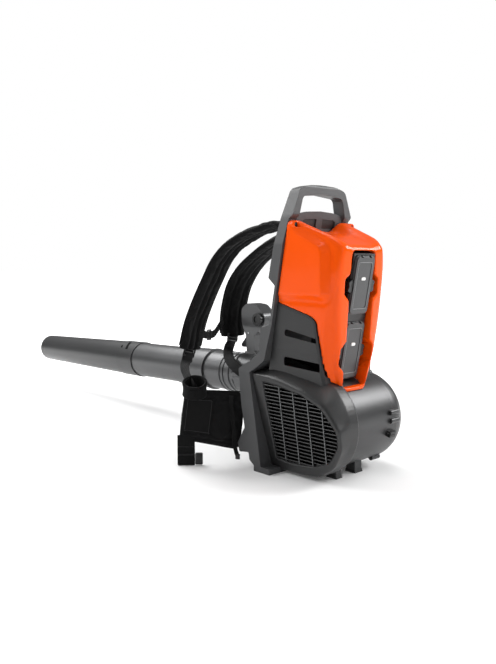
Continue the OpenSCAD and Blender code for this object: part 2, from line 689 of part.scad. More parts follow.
module scroll_cover() color(dark) difference() {
  union() {
    difference() {
      drum_outer();
      drum_inner();
      block([-big, -big, -big], [big, scroll_split, big]);
    }
    difference() {
      scroll_bosses(5.5, scroll_split + gap / 6, scroll_split + 12);
      drum_frame() pin_y(drum_r - 1, -60, 200);
    }
  }
  scroll_bosses(2.6, scroll_split - 1, scroll_split + 14);
  scroll_bosses(3.5, scroll_split + 12, scroll_split + 24);
}
module lead_clip() color(black) drum_frame() rotate([0, 13, 0]) difference() {
  block([drum_r + gap / 3, scroll_split - 22, -6], [drum_r + 11, scroll_split - 4, 6]);
  translate([drum_r + 5.5, 0, 0]) pin_y(3.2, 0, 200);
  block([drum_r + 5, 0, -1], [drum_r + 20, 200, 1]);
}
module rear_feet() color(black)
  for (y = foot_y)
    difference() {
      across(y[0] - 1, y[1] + 1) polygon(rounded([[foot_x[0] - 2, 0, 1], [foot_x[1] + 3, 0, 1],
        [foot_x[1], lug_z - gap / 3, 0], [foot_x[0], lug_z - gap / 3, 0]]));
      translate([(foot_x[0] + foot_x[1]) / 2, (y[0] + y[1]) / 2, -1]) cylinder(r = 3, h = 4);
    }

module inlet_ring() color(mid_grey) drum_frame() rotate([-90, 0, 0]) rotate_extrude($fn = 96)
  polygon(concat([[drum_r - drum_wall - 0.2, scroll_in + 0.1], [drum_r - drum_wall - 0.2, scroll_in + 3],
    [eye_r + 14, scroll_in + 3]],
    [for (p = arc([eye_r + 14, scroll_in + 13], 10, -90, -180, 6)) p],
    [[eye_r + 2, scroll_in + 13]],
    [for (p = arc([eye_r + 14, scroll_in + 13], 12.9, -180, -90, 6)) p]));

wheel_y = scroll_in + 10;
motor_y = -22;
module motor_bracket() color(mid_grey) drum_frame() difference() {
  union() {
    difference() {
      pin_y(motor_r + 5, motor_y, motor_y + 30);
      pin_y(motor_r + gap / 3, motor_y + 3, motor_y + 40);
    }
    for (a = [20:72:379])
      rotate([0, a, 0]) block([motor_r + 3, motor_y + 4, -2], [drum_r - drum_wall - 0.1, motor_y + 24, 2]);
  }
  pin_y(13, -60, 60);
}
module motor_stator() color(steel) drum_frame() difference() {
  pin_y(motor_r, motor_y + 3.1, motor_y + 3.1 + motor_len);
  pin_y(shaft_r + 8, motor_y, motor_y + motor_len + 10);
}
bearing_y = [motor_y + 5, motor_y + motor_len - 7];
module shaft_bearings() color(steel) drum_frame()
  for (y = bearing_y)
    difference() {
      pin_y(shaft_r + 7.9, y, y + 8);
      pin_y(shaft_r + 0.05, y - 1, y + 9);
    }
module motor_shaft() color(steel) drum_frame() {
  pin_y(shaft_r, motor_y + 1, wheel_y + 26);
  pin_y(shaft_r + 5, motor_y + 16, motor_y + motor_len - 10);
}
hub_r = 17;
module blade() rotate([90, 0, 0]) mirror([0, 0, 1]) linear_extrude(wheel_w - 4) difference() {
  intersection() {
    translate([wheel_r * 0.47, -wheel_r * 0.5]) circle(r = wheel_r * 0.62);
    circle(r = wheel_r - 0.4);
  }
  translate([wheel_r * 0.47, -wheel_r * 0.5]) circle(r = wheel_r * 0.62 - 2.2);
  circle(r = eye_r + 4);
  translate([-wheel_r * 2, -wheel_r * 2]) square([wheel_r * 4, wheel_r * 2.02]);
}
module fan_wheel() color(black) drum_frame() {
  // Back plate with its hub
  difference() {
    union() {
      pin_y(wheel_r, wheel_y + wheel_w - 3, wheel_y + wheel_w);
      pin_y(hub_r, wheel_y + 10, wheel_y + wheel_w);
    }
    pin_y(shaft_r + 0.1, wheel_y, wheel_y + wheel_w + 5);
    pin_y(9, wheel_y + 26, wheel_y + wheel_w + 5);
  }
  // Shroud
  difference() {
    pin_y(wheel_r, wheel_y + 5, wheel_y + 7.5);
    pin_y(eye_r + 5, wheel_y, wheel_y + 10);
  }
  for (i = [0:blades - 1])
    rotate([0, 360 * i / blades, 0]) translate([0, wheel_y + 5.5, 0]) mirror([0, 0, 1]) blade();
}
module fan_nut() color(steel) drum_frame() difference() {
  translate([0, wheel_y + 26.1, 0]) rotate([-90, 0, 0]) cylinder(r = 8, h = 7, $fn = 6);
  pin_y(1.5, wheel_y + 31, wheel_y + 40);
}

// ---------- air tube ----------
sleeve_in = 56;                                       // sleeve's rear end ahead of the pivot
sleeve_out = 92;
tube_start = 76;
ridge_at = [132, 147, 169, 182];                      // ridges on the rear tube
clamp_at = [98, 144];                                 // handle clamp on the rear tube
collar_at = [266, 398];
joint_at = 595;                                       // where the nozzle takes over
nozzle_grip = 82;
// Profile turned about the tube axis, [distance ahead of the pivot, radius]
module turned(p)
  tube_frame() rotate([0, -90, 0]) rotate_extrude($fn = 96) polygon([for (q = p) [q[1], q[0]]]);

bellows_a = duct_end - pivot_x;                       // rear end behind the pivot
bellows_b = sleeve_in - 2;
cuff = 16;
bellows_wall = 1.8;
cuff_r = duct_r + 0.1;                                // inner radius of the cuffs and the folds
cuff_out = cuff_r + bellows_wall;
module bellows() color(black) {
  la = bellows_a + 2;
  lb = bellows_b - 2;
  step = (la + lb) / bellows_folds;
  translate([pivot_x, tube_y, tube_z]) rotate([0, -90, 0]) rotate_extrude($fn = 96) polygon(concat(
    [[cuff_r, -la - cuff], [cuff_r, -la]],
    [for (i = [0:bellows_folds - 1]) each
      [[cuff_r, -la + step * i + 1], [bellows_r - bellows_wall, -la + step * (i + 0.5)]]],
    [[cuff_r, lb], [cuff_r, lb + 1.5], [cuff_out, lb + 1.5], [cuff_out, lb]],
    [for (i = [bellows_folds - 1:-1:0]) each
      [[bellows_r, -la + step * (i + 0.5)], [cuff_out, -la + step * i]]],
    [[cuff_out, -la - cuff]]));
  turned([[lb - 0.5, cuff_r], [lb + cuff, cuff_r], [lb + cuff, cuff_out], [lb - 0.5, cuff_out]]);
}
band_w = 9;
band_t = 1.5;
band_r = cuff_out + 0.2;
// Band with its screw barrel, along X from x = 0
module band_clamp() {
  rotate([0, 90, 0]) rotate_extrude($fn = 96) translate([band_r, 0]) square([band_t, band_w]);
  translate([band_w / 2, 0, band_r + band_t + 2.4]) rotate([90, 0, 0])
    cylinder(r = 3.2, h = 16, center = true);
}
module bellows_rear_clamp() color(steel)
  translate([pivot_x + bellows_a + 5, tube_y, tube_z]) band_clamp();
module bellows_front_clamp() color(steel)
  tube_frame() translate([-bellows_b - 3 - band_w, 0, 0]) band_clamp();
module swivel_sleeve() color(dark) turned([[sleeve_in, duct_r - 2.4], [sleeve_in, duct_r],
  [sleeve_in + 16, duct_r], [sleeve_in + 16.5, duct_r + 2], [sleeve_out - 1, duct_r + 2],
  [sleeve_out, duct_r + 1], [sleeve_out, tube_r + 0.1], [tube_start - 1, tube_r + 0.1],
  [tube_start - 1, duct_r - 2.4]]);
module rear_tube() color(dark) turned(concat(
  [[tube_start, tube_r - tube_wall], [tube_start, tube_r], [clamp_at[1] + 6, tube_r]],
  [for (x = [150, 165, 187, 200]) each [[x, tube_r], [x + 1, tube_r + 2], [x + 7, tube_r + 2], [x + 8, tube_r]]],
  [[collar_at[1] - 30, tube_r], [collar_at[1] - 30, tube_r - tube_wall]]));
module tube_collar() color(mid_grey) difference() {
  turned([[collar_at[0], tube_r + 0.1], [collar_at[0], tube_r + 5], [collar_at[0] + 4, tube_r + 5],
    [collar_at[0] + 6, tube_r + 3.4], [collar_at[1] - 8, tube_r + 2.4], [collar_at[1], tube_r + 2.4],
    [collar_at[1], tube_r + 0.1]]);
  collar_holes(2.2, 0, 90);
}
module collar_holes(r, low, high) tube_frame()
  for (x = [collar_at[0] + 20, collar_at[0] + 34])
    rotate([-35, 0, 0]) translate([-x, 0, low]) cylinder(r = r, h = high - low);
module front_tube() color(dark) turned([[collar_at[1] - 29.5, tube_r - tube_wall],
  [collar_at[1] - 29.5, tube_r], [joint_at + 20, tube_r], [joint_at + 20, tube_r - tube_wall]]);
module nozzle() color(dark) difference() {
  turned([[joint_at, tube_r + 0.1], [joint_at, tube_r + 2.6], [joint_at + nozzle_grip, tube_r + 2.2],
    [joint_at + nozzle_grip + 2, tube_r + 0.6], [joint_at + nozzle_len - 26, nozzle_r + 0.4],
    [joint_at + nozzle_len - 25, nozzle_r], [joint_at + nozzle_len - 0.8, nozzle_r],
    [joint_at + nozzle_len, nozzle_r - 0.6], [joint_at + nozzle_len, nozzle_r - nozzle_wall + 0.5],
    [joint_at + nozzle_len - 0.8, nozzle_r - nozzle_wall],
    [joint_at + nozzle_grip + 2, tube_r + 0.6 - nozzle_wall],
    [joint_at + nozzle_grip - 2, tube_r + 2.2 - nozzle_wall], [joint_at + 25, tube_r + 2.4 - nozzle_wall],
    [joint_at + 24, tube_r - tube_wall], [joint_at + 21, tube_r - tube_wall],
    [joint_at + 21, tube_r + 0.1]]);
  // Slot of the bayonet
  tube_frame() rotate([-50, 0, 0]) block([-joint_at - 14, -3, tube_r - 5], [-joint_at - 6, 12, tube_r + 10]);
}

// ---------- grip ----------
clamp_mid = (clamp_at[0] + clamp_at[1]) / 2;
clamp_r = tube_r + 5;
module clamp_half(s) tube_frame() difference() {
  union() {
    pin_x(clamp_r, -clamp_at[1], -clamp_at[0]);
    if (s > 0)
      block([-clamp_at[1] + 4, -stem_w / 2, 0], [-clamp_at[0] - 4, stem_w / 2, clamp_r + 3]);
    for (t = [-1, 1])
      block([-clamp_at[1] + 6, t * (clamp_r + 3) - 6, -8], [-clamp_at[0] - 6, t * (clamp_r + 3) + 6, 8]);
  }
  pin_x(tube_r + 0.1, -big, big, 96);
  block([-big, -big, s > 0 ? -big : -0.5], [big, big, s > 0 ? 0.5 : big]);
  for (t = [-1, 1])
    translate([-clamp_mid, t * (clamp_r + 4), -20]) cylinder(r = 2.2, h = 40);
}
module handle_clamp_upper() color(dark) clamp_half(1);
module handle_clamp_lower() color(dark) clamp_half(-1);
// Screws of the tube collar and of the handle clamp
module tube_screws() color(steel) {
  collar_holes(2, tube_r + 0.2, tube_r + 5.2);
  tube_frame() for (t = [-1, 1])
    translate([-clamp_mid, t * (clamp_r + 4), 0]) {
      translate([0, 0, -8]) cylinder(r = 2, h = 16.2);
      translate([0, 0, 8.1]) cylinder(r = 4, h = 3);
    }
}

stem_low = clamp_r + 3 + gap / 3;
// Side outline of the grip: [ahead of the pivot, above the tube axis, radius]
grip_side = [[106, stem_low, 2], [134, stem_low, 3], [136, 96, 10], [146, 132, 10], [146, 163, 16],
  [126, 177, 22], [92, 173, 22], [66, 150, 18], [64, 128, 16], [84, 112, 14], [106, 98, 10]];
grip_mid = [for (p = grip_side) [-p[0], p[1], p[2]]];
module grip_outline(t) offset(delta = -t) polygon(rounded(grip_mid));
module grip_front(t) polygon(rounded(mirrored([[grip_w / 2 - t, 190, 0], [grip_w / 2 - t, 118, 20],
  [stem_w / 2 - t, 100, 20], [stem_w / 2 - t, 40, 0]])));
module grip_solid(t) intersection() {
  across(-grip_w, grip_w) grip_outline(t);
  along(-200, 0) grip_front(t);
}
trigger_pivot = [-126, 103];
dial_at = [-84, 138];
module grip_half(s) color(dark) tube_frame() difference() {
  grip_solid(0);
  grip_solid(grip_wall);
  block([-big, s < 0 ? -0.05 : -big, -big], [big, s < 0 ? big : 0.05, big]);
  // Trigger opening
  block([-160, -trigger_w / 2 - 0.6, 61], [-124, trigger_w / 2 + 0.6, 108]);
  // Pin and dial holes
  translate([trigger_pivot[0], 0, trigger_pivot[1]]) pin_y(2, -40, 40);
  if (s < 0)
    translate([dial_at[0], 0, dial_at[1]]) pin_y(5.2, -40, 0);
}
module grip_left() grip_half(-1);
module grip_right() grip_half(1);
trigger_side = [[-122, 110, 3], [-131, 108, 3], [-137, 100, 4], [-164, 72, 4], [-160, 66, 3],
  [-146, 66, 3], [-132, 88, 4], [-122, 98, 3]];
module trigger() color(black) tube_frame() difference() {
  across(-trigger_w / 2, trigger_w / 2) polygon(rounded(trigger_side));
  translate([trigger_pivot[0], 0, trigger_pivot[1]]) pin_y(2, -20, 20);
}
module trigger_pin() color(steel) tube_frame()
  translate([trigger_pivot[0], 0, trigger_pivot[1]]) pin_y(1.9, -stem_w / 2 - 1, stem_w / 2 + 1);
module throttle_switch() color(black) tube_frame()
  block([-119, -7, stem_low + grip_wall + gap / 3], [-109, 7, 92]);
module cruise_dial() color(black) tube_frame() translate([dial_at[0], 0, dial_at[1]]) difference() {
  union() {
    pin_y(dial_r, -grip_w / 2 - 9, -grip_w / 2 - gap);
    pin_y(5, -grip_w / 2 - 1, -grip_w / 2 + 6);
  }
  for (a = [0:30:330])
    rotate([0, a, 0]) translate([dial_r + 1, 0, 0]) pin_y(2, -40, -grip_w / 2 - 3);
  pin_y(9, -grip_w / 2 - 10, -grip_w / 2 - 7);
}

// ---------- harness ----------
// Smooth curve through points p, sampled n times per span
function spline(p, n) = [for (i = [0:len(p) - 2]) for (j = [0:n - 1])
  let(t = j / n, a = p[max(0, i - 1)], b = p[i], c = p[i + 1], d = p[min(len(p) - 1, i + 2)])
  0.5 * (2 * b + (c - a) * t + (2 * a - 5 * b + 4 * c - d) * t * t + (3 * b - a - 3 * c + d) * t * t * t)];
function path_of(p, n) = concat(spline(p, n), [p[len(p) - 1]]);
// Sweep of a section along a path; side is the direction of the section's width at each end
module strip(path, section, side_a, side_b, wide = 1) {
  n = len(path);
  m = len(section);
  rings = [for (i = [0:n - 1])
    let(t = unit(path[min(n - 1, i + 1)] - path[max(0, i - 1)]),
        side0 = side_a + (side_b - side_a) * i / (n - 1),
        side = unit(side0 - t * (side0 * t)),
        up = cross(t, side))
    [for (q = section) path[i] + side * q[0] * size(i / (n - 1), wide) + up * q[1]]];
  polyhedron([for (r = rings) each r], concat(
    [[for (i = [0:m - 1]) i]],
    [for (j = [0:n - 2]) for (i = [0:m - 1]) each
      [[j * m + i, (j + 1) * m + i, (j + 1) * m + (i + 1) % m],
       [j * m + i, (j + 1) * m + (i + 1) % m, j * m + (i + 1) % m]]],
    [[for (i = [m - 1:-1:0]) (n - 1) * m + i]]));
}
function size(u, wide) = (1 + (wide - 1) * u) * (wide != 1 && u > 0.93 ? 1 - 1.5 * (u - 0.93) : 1);
function pad_section(w, t) = [[-w / 2, -t * 0.16], [-w * 0.46, -t * 0.4], [-w * 0.22, -t * 0.5],
  [-w * 0.16, -t * 0.36], [-w * 0.1, -t * 0.5], [w * 0.1, -t * 0.5], [w * 0.16, -t * 0.36],
  [w * 0.22, -t * 0.5], [w * 0.46, -t * 0.4], [w / 2, -t * 0.16],
  [w / 2, t * 0.16], [w * 0.44, t * 0.42], [w * 0.16, t * 0.5], [-w * 0.16, t * 0.5],
  [-w * 0.44, t * 0.42], [-w / 2, t * 0.16]];
function flat_section(w, t) = [[-w / 2, -t / 2], [w / 2, -t / 2], [w / 2, t / 2], [-w / 2, t / 2]];

// Middle line of each shoulder pad, from the frame over the shoulder to its lower end
pad_left = [[30, -50, 488], [8, -51, 507], [-14, -54, 514], [-44, -59, 508], [-80, -66, 494],
  [-124, -76, 471], [-158, -82, 440], [-190, -85, 393], [-220, -87, 345], [-244, -89, 298], [-260, -91, 243]];
pad_right = [[30, 50, 486], [4, 52, 497], [-50, 58, 497], [-110, 66, 488], [-176, 74, 462], [-236, 78, 425],
  [-278, 80, 380], [-298, 80, 330], [-306, 80, 285], [-304, 80, 248]];
// Face of the frame that the shoulder pads are fastened to
module pad_seat() across(-big, big)
  polygon([[4 - gap, 403], [handle_front_x - gap, 528], [200, 528], [200, 403]]);
module shoulder_pad(p) color(black)
  strip(path_of(p, 3), pad_section(pad_w, pad_t), [0, 1, 0], [0, 1, 0], 0.98);
module shoulder_pad_left() color(black) difference() {
  shoulder_pad(pad_left);
  pad_seat();
  harness_webbing();
  sternum_strap();
}
module shoulder_pad_right() color(black) difference() {
  shoulder_pad(pad_right);
  pad_seat();
  harness_webbing();
  sternum_strap();
}

web_left = [[-259, -91, 253], [-262, -94, 234], [-255, -106, 216], [-232, -130, 200], [-198, -152, 188],
  [-168, -168, 180], [-147, -178, 168], [-140, -173, 148]];
web_right = [[-303.5, 80, 258], [-304, 77, 238], [-294, 56, 218], [-262, 30, 200], [-225, 17, 185],
  [-194, 15, 172], [-178, 19, 160], [-172, 20, 144]];
module harness_webbing() color(black) {
  strip(path_of(web_left, 4), flat_section(web_w, web_t), [0, 1, 0], [0, 0, 1]);
  strip(path_of(web_right, 4), flat_section(web_w, web_t), [0, 1, 0], [0, 0, 1]);
}
sternum = [[-262, -58, 268], [-270, -34, 262], [-284, 0, 262], [-300, 30, 276], [-310, 54, 290]];
module sternum_strap() color(black)
  strip(path_of(sternum, 5), flat_section(18, web_t), [0, 0, 1], [0, 0, 1]);

// Hip pads: height profile along the wing
function hip_section(h, t) = [[-h / 2, -t * 0.12], [-h * 0.46, -t * 0.42], [-h * 0.2, -t / 2],
  [-h * 0.16, -t * 0.38], [-h * 0.12, -t / 2], [h * 0.2, -t / 2], [h * 0.46, -t * 0.42], [h / 2, -t * 0.12],
  [h / 2, t * 0.12], [h * 0.46, t * 0.42], [0, t / 2], [-h * 0.46, t * 0.42], [-h / 2, t * 0.12]];
hip_h = 126;
hip_left = [[-72, -92, 96], [-87, -107, 98], [-106, -132, 102], [-132, -164, 107],
  [-150, -184, 110], [-161, -197, 112]];
hip_right = [[-70, 6, 96], [-88, 18, 98], [-116, 24, 102], [-146, 24, 106],
  [-172, 20, 110], [-190, 16, 112]];
module hip_pad_left() color(black) difference() {
  strip(path_of(hip_left, 3), hip_section(hip_h, hip_t), [0, 0, 1], [0, 0, 1], 0.87);
  block([-big, lumbar_y[0] - gap, 0], [0, 0, big]);
  harness_webbing();
  hip_belt();
}
module hip_pad_right() color(black) difference() {
  strip(path_of(hip_right, 3), hip_section(hip_h, hip_t), [0, 0, 1], [0, 0, 1], 0.87);
  block([-big, -40, 0], [0, lumbar_y[1] + gap, big]);
  harness_webbing();
}
belt_top = [-154, -190, 54];
module hip_belt() color(black) {
  // Webbing loop that hangs to the floor
  translate(belt_top) rotate([0, 0, 47]) {
    block([-19, -3, -50], [19, -3 + web_t, -2]);
    block([-19, 3 - web_t, -50], [19, 3, -2]);
    block([-19, -3, -54], [19, 3, -50]);
    // Buckle
    block([18.9, -6, -52], [36, 6, -26]);
  }
}

// ---------- the machine ----------
back_frame();
top_vent_panel();
back_pad();
lumbar_pad();
side_housing_left();
side_housing_right();
battery_cover();
cover_seal();
housing_screws();
battery_tray();
bay_contacts();
motor_controller();
heat_sink();
battery_upper();
battery_lower();
battery_upper_cells();
battery_lower_cells();
battery_upper_latch_left();
battery_upper_latch_right();
battery_lower_latch_left();
battery_lower_latch_right();
battery_upper_button();
battery_lower_button();
fan_housing();
scroll_cover();
lead_clip();
rear_feet();
intake_cover();
intake_grille();
inlet_ring();
motor_bracket();
motor_stator();
motor_shaft();
shaft_bearings();
fan_wheel();
fan_nut();
bellows();
bellows_rear_clamp();
bellows_front_clamp();
swivel_sleeve();
rear_tube();
tube_collar();
front_tube();
nozzle();
handle_clamp_upper();
handle_clamp_lower();
tube_screws();
grip_left();
grip_right();
trigger();
trigger_pin();
throttle_switch();
cruise_dial();
shoulder_pad_left();
shoulder_pad_right();
harness_webbing();
sternum_strap();
hip_pad_left();
hip_pad_right();
hip_belt();
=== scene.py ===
import math

import bpy
import numpy as np
from mathutils import Matrix, Vector


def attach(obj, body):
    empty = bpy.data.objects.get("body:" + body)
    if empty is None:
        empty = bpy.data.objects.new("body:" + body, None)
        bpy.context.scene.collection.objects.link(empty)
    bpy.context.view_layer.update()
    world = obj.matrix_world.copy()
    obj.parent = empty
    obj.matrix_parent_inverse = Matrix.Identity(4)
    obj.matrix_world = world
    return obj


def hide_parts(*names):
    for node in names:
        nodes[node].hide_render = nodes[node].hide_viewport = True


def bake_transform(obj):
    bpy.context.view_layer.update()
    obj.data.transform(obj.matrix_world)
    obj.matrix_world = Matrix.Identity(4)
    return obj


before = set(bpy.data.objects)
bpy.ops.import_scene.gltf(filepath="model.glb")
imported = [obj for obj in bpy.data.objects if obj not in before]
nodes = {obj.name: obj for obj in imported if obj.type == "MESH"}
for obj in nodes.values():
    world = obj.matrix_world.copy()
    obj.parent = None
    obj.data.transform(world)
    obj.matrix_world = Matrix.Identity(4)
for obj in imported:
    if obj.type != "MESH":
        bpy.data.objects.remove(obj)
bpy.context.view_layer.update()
mm = 0.001
print("frame loaded:", len(nodes), "nodes")


# helpers for node trees
def node(tree, kind, values=None, **settings):
    made = tree.nodes.new(kind)
    for key, value in settings.items():
        setattr(made, key, value)
    for key, value in (values or {}).items():
        made.inputs[key].default_value = value
    return made


def wire(tree, *pairs):
    for a, b in pairs:
        tree.links.new(a, b)


def feed(tree, socket, value):
    # gives a socket a plain value or a link
    if isinstance(value, (int, float, tuple)):
        socket.default_value = value
    elif value is not None:
        tree.links.new(value, socket)


def mathNode(tree, operation, a, b=None, clamp=False):
    made = node(tree, "ShaderNodeMath", operation=operation, use_clamp=clamp)
    feed(tree, made.inputs[0], a)
    feed(tree, made.inputs[1], b)
    return made.outputs[0]


def mixColour(tree, factor, a, b):
    made = node(tree, "ShaderNodeMix", data_type="RGBA", blend_type="MIX")
    for index, value in ((0, factor), (6, a), (7, b)):     # its colour sockets are 6 and 7
        feed(tree, made.inputs[index], value)
    return made.outputs[2]


def newMaterial(name):
    material = bpy.data.materials.new(name)
    material.use_nodes = True
    return material, material.node_tree, material.node_tree.nodes["Principled BSDF"]


# the camera, the lights and the floor
cameraSetup = {
    "place": (1.0192, -1.1077, 0.4348),
    "turn": 46.862,      # degrees round the machine, from the left side towards the back
    "tilt": 5.646,       # degrees down
    "lens": 38.31,
}


def addCamera(s):
    turn, tilt = math.radians(s["turn"]), math.radians(s["tilt"])
    back = Vector((math.sin(turn) * math.cos(tilt), -math.cos(turn) * math.cos(tilt), math.sin(tilt)))
    bpy.ops.object.camera_add(location=s["place"])
    camera = bpy.context.object
    camera.rotation_mode = "QUATERNION"
    camera.rotation_quaternion = (-back).to_track_quat("-Z", "Y")
    camera.data.lens = s["lens"]
    camera.data.clip_end = 60
    bpy.context.scene.camera = camera


lightSetup = {
    "sky": {"top": 0.42, "side": 0.1, "low": 0.14},
    "key": {"place": (-2.0, -1.9, 1.9), "aim": (-0.05, 0, 0.3), "size": (1.2, 1.2), "power": 40},
    "top": {"place": (0.1, 0.3, 2.4), "aim": (-0.1, 0, 0.3), "size": (2.2, 0.8), "power": 16},
    "rim": {"place": (1.3, 1.8, 1.6), "aim": (0.1, 0, 0.15), "size": (1.2, 1.0), "power": 58},
    "side": {"place": (2.3, -0.3, 1.3), "aim": (0.1, 0, 0.25), "size": (0.4, 1.2), "power": 5},
    "front": {"place": (-1.9, -0.05, 1.9), "aim": (-0.35, 0, 0.15), "size": (1.5, 0.9), "power": 40},
}


def addWorld(s):
    # the camera sees white, and the light falls from a bright ceiling with darker walls
    world = bpy.data.worlds.new("Studio")
    bpy.context.scene.world = world
    world.use_nodes = True
    tree = world.node_tree
    plain = tree.nodes["Background"]
    plain.inputs["Color"].default_value = (1, 1, 1, 1)
    split = node(tree, "ShaderNodeSeparateXYZ")
    walls = node(tree, "ShaderNodeMapRange", {"From Min": 0.1, "From Max": 0.9,
                                              "To Min": s["side"], "To Max": s["top"]})
    below = node(tree, "ShaderNodeMapRange", {"From Min": 0.0, "From Max": -0.4,
                                              "To Min": 0.0, "To Max": s["low"]})
    wire(tree, (node(tree, "ShaderNodeTexCoord").outputs["Generated"], split.inputs[0]),
         (split.outputs["Z"], walls.inputs["Value"]), (split.outputs["Z"], below.inputs["Value"]))
    light = mathNode(tree, "MAXIMUM", walls.outputs[0], below.outputs[0])
    seen = mathNode(tree, "MAXIMUM", light, node(tree, "ShaderNodeLightPath").outputs["Is Camera Ray"])
    wire(tree, (seen, plain.inputs["Strength"]))


def addLights(s):
    addWorld(s["sky"])
    for name in ("key", "top", "rim", "side", "front"):
        t = s[name]
        bpy.ops.object.light_add(type="AREA", location=t["place"])
        lamp = bpy.context.object
        lamp.name = name + "Light"
        lamp.data.shape = "RECTANGLE"
        lamp.data.size, lamp.data.size_y = t["size"]
        lamp.data.energy = t["power"]
        lamp.rotation_mode = "QUATERNION"
        aim = Vector(t["aim"]) - Vector(t["place"])
        lamp.rotation_quaternion = aim.to_track_quat("-Z", "Y")
    view = bpy.context.scene.view_settings
    view.view_transform = "Standard"
    view.look = "None"


floorSetup = {"size": 60, "colour": (0.9, 0.9, 0.9), "glow": 0.06, "glowFrom": 0.7, "glowTo": 2.6}


def addFloor(s):
    # it glows more the further it is from the machine, and so runs out into white
    bpy.ops.mesh.primitive_plane_add(size=s["size"], location=(0, 0, 0))
    floor = bpy.context.object
    floor.name = "studioFloor"
    material, tree, shader = newMaterial("paleFloor")
    shader.inputs["Base Color"].default_value = (*s["colour"], 1)
    shader.inputs["Roughness"].default_value = 0.9
    shader.inputs["Emission Color"].default_value = (1, 1, 1, 1)
    away = node(tree, "ShaderNodeVectorMath", operation="LENGTH")
    glow = node(tree, "ShaderNodeMapRange", {"From Min": s["glowFrom"], "From Max": s["glowTo"],
                                             "To Min": s["glow"], "To Max": 1.0})
    wire(tree, (node(tree, "ShaderNodeTexCoord").outputs["Object"], away.inputs[0]),
         (away.outputs["Value"], glow.inputs["Value"]), (glow.outputs[0], shader.inputs["Emission Strength"]))
    floor.data.materials.append(material)


addCamera(cameraSetup)
addLights(lightSetup)
addFloor(floorSetup)
print("camera, lights and floor added")


# helpers for meshes
def activate(obj):
    if bpy.context.object and bpy.context.object.mode != "OBJECT":
        bpy.ops.object.mode_set(mode="OBJECT")
    bpy.ops.object.select_all(action="DESELECT")
    obj.select_set(True)
    bpy.context.view_layer.objects.active = obj


def finishWith(obj, kind, **settings):
    activate(obj)
    added = obj.modifiers.new(kind.title(), kind)
    for key, value in settings.items():
        setattr(added, key, value)
    bpy.ops.object.modifier_apply(modifier=added.name)
    return obj


def smooth(obj, angle=35):
    activate(obj)
    bpy.ops.object.shade_smooth_by_angle(angle=math.radians(angle))
    return obj


def joined(parts, name):
    bpy.ops.object.select_all(action="DESELECT")
    for p in parts:
        p.select_set(True)
    bpy.context.view_layer.objects.active = parts[0]
    if len(parts) > 1:
        bpy.ops.object.join()
    whole = bpy.context.object
    whole.name = name
    whole.data.name = name
    return whole


def meshObject(name, verts, edges, faces):
    mesh = bpy.data.meshes.new(name)
    mesh.from_pydata(verts, edges, faces)
    mesh.update()
    obj = bpy.data.objects.new(name, mesh)
    bpy.context.scene.collection.objects.link(obj)
    return obj


def fromData(name, verts, faces, uv=None):
    # a mesh with its faces turned outwards
    obj = meshObject(name, [tuple(v) for v in verts], [], faces)
    if uv:
        layer = obj.data.uv_layers.new(name="UVMap")
        for loop in obj.data.loops:
            layer.data[loop.index].uv = uv[loop.vertex_index]
    activate(obj)
    bpy.ops.object.mode_set(mode="EDIT")
    bpy.ops.mesh.select_all(action="SELECT")
    bpy.ops.mesh.normals_make_consistent(inside=False)
    bpy.ops.object.mode_set(mode="OBJECT")
    return obj


def box(name, low, high, bevel=0.0, segments=3, place=None):
    bpy.ops.mesh.primitive_cube_add(size=1, location=[(a + b) / 2 for a, b in zip(low, high)])
    obj = bpy.context.object
    obj.name = name
    obj.scale = [b - a for a, b in zip(low, high)]
    activate(obj)
    bpy.ops.object.transform_apply(location=True, rotation=True, scale=True)
    if place is not None:
        obj.data.transform(place)
    if bevel:
        finishWith(obj, "BEVEL", width=bevel, segments=segments, limit_method="ANGLE")
        smooth(obj)
    return obj


# finishes
def newGroup(name, inputs, outputs):
    group = bpy.data.node_groups.new(name, "ShaderNodeTree")
    for label, kind, value in inputs:
        socket = group.interface.new_socket(label, in_out="INPUT", socket_type=kind)
        socket.default_value = value
    for label, kind in outputs:
        group.interface.new_socket(label, in_out="OUTPUT", socket_type=kind)
    return group, group.nodes.new("NodeGroupInput"), group.nodes.new("NodeGroupOutput")


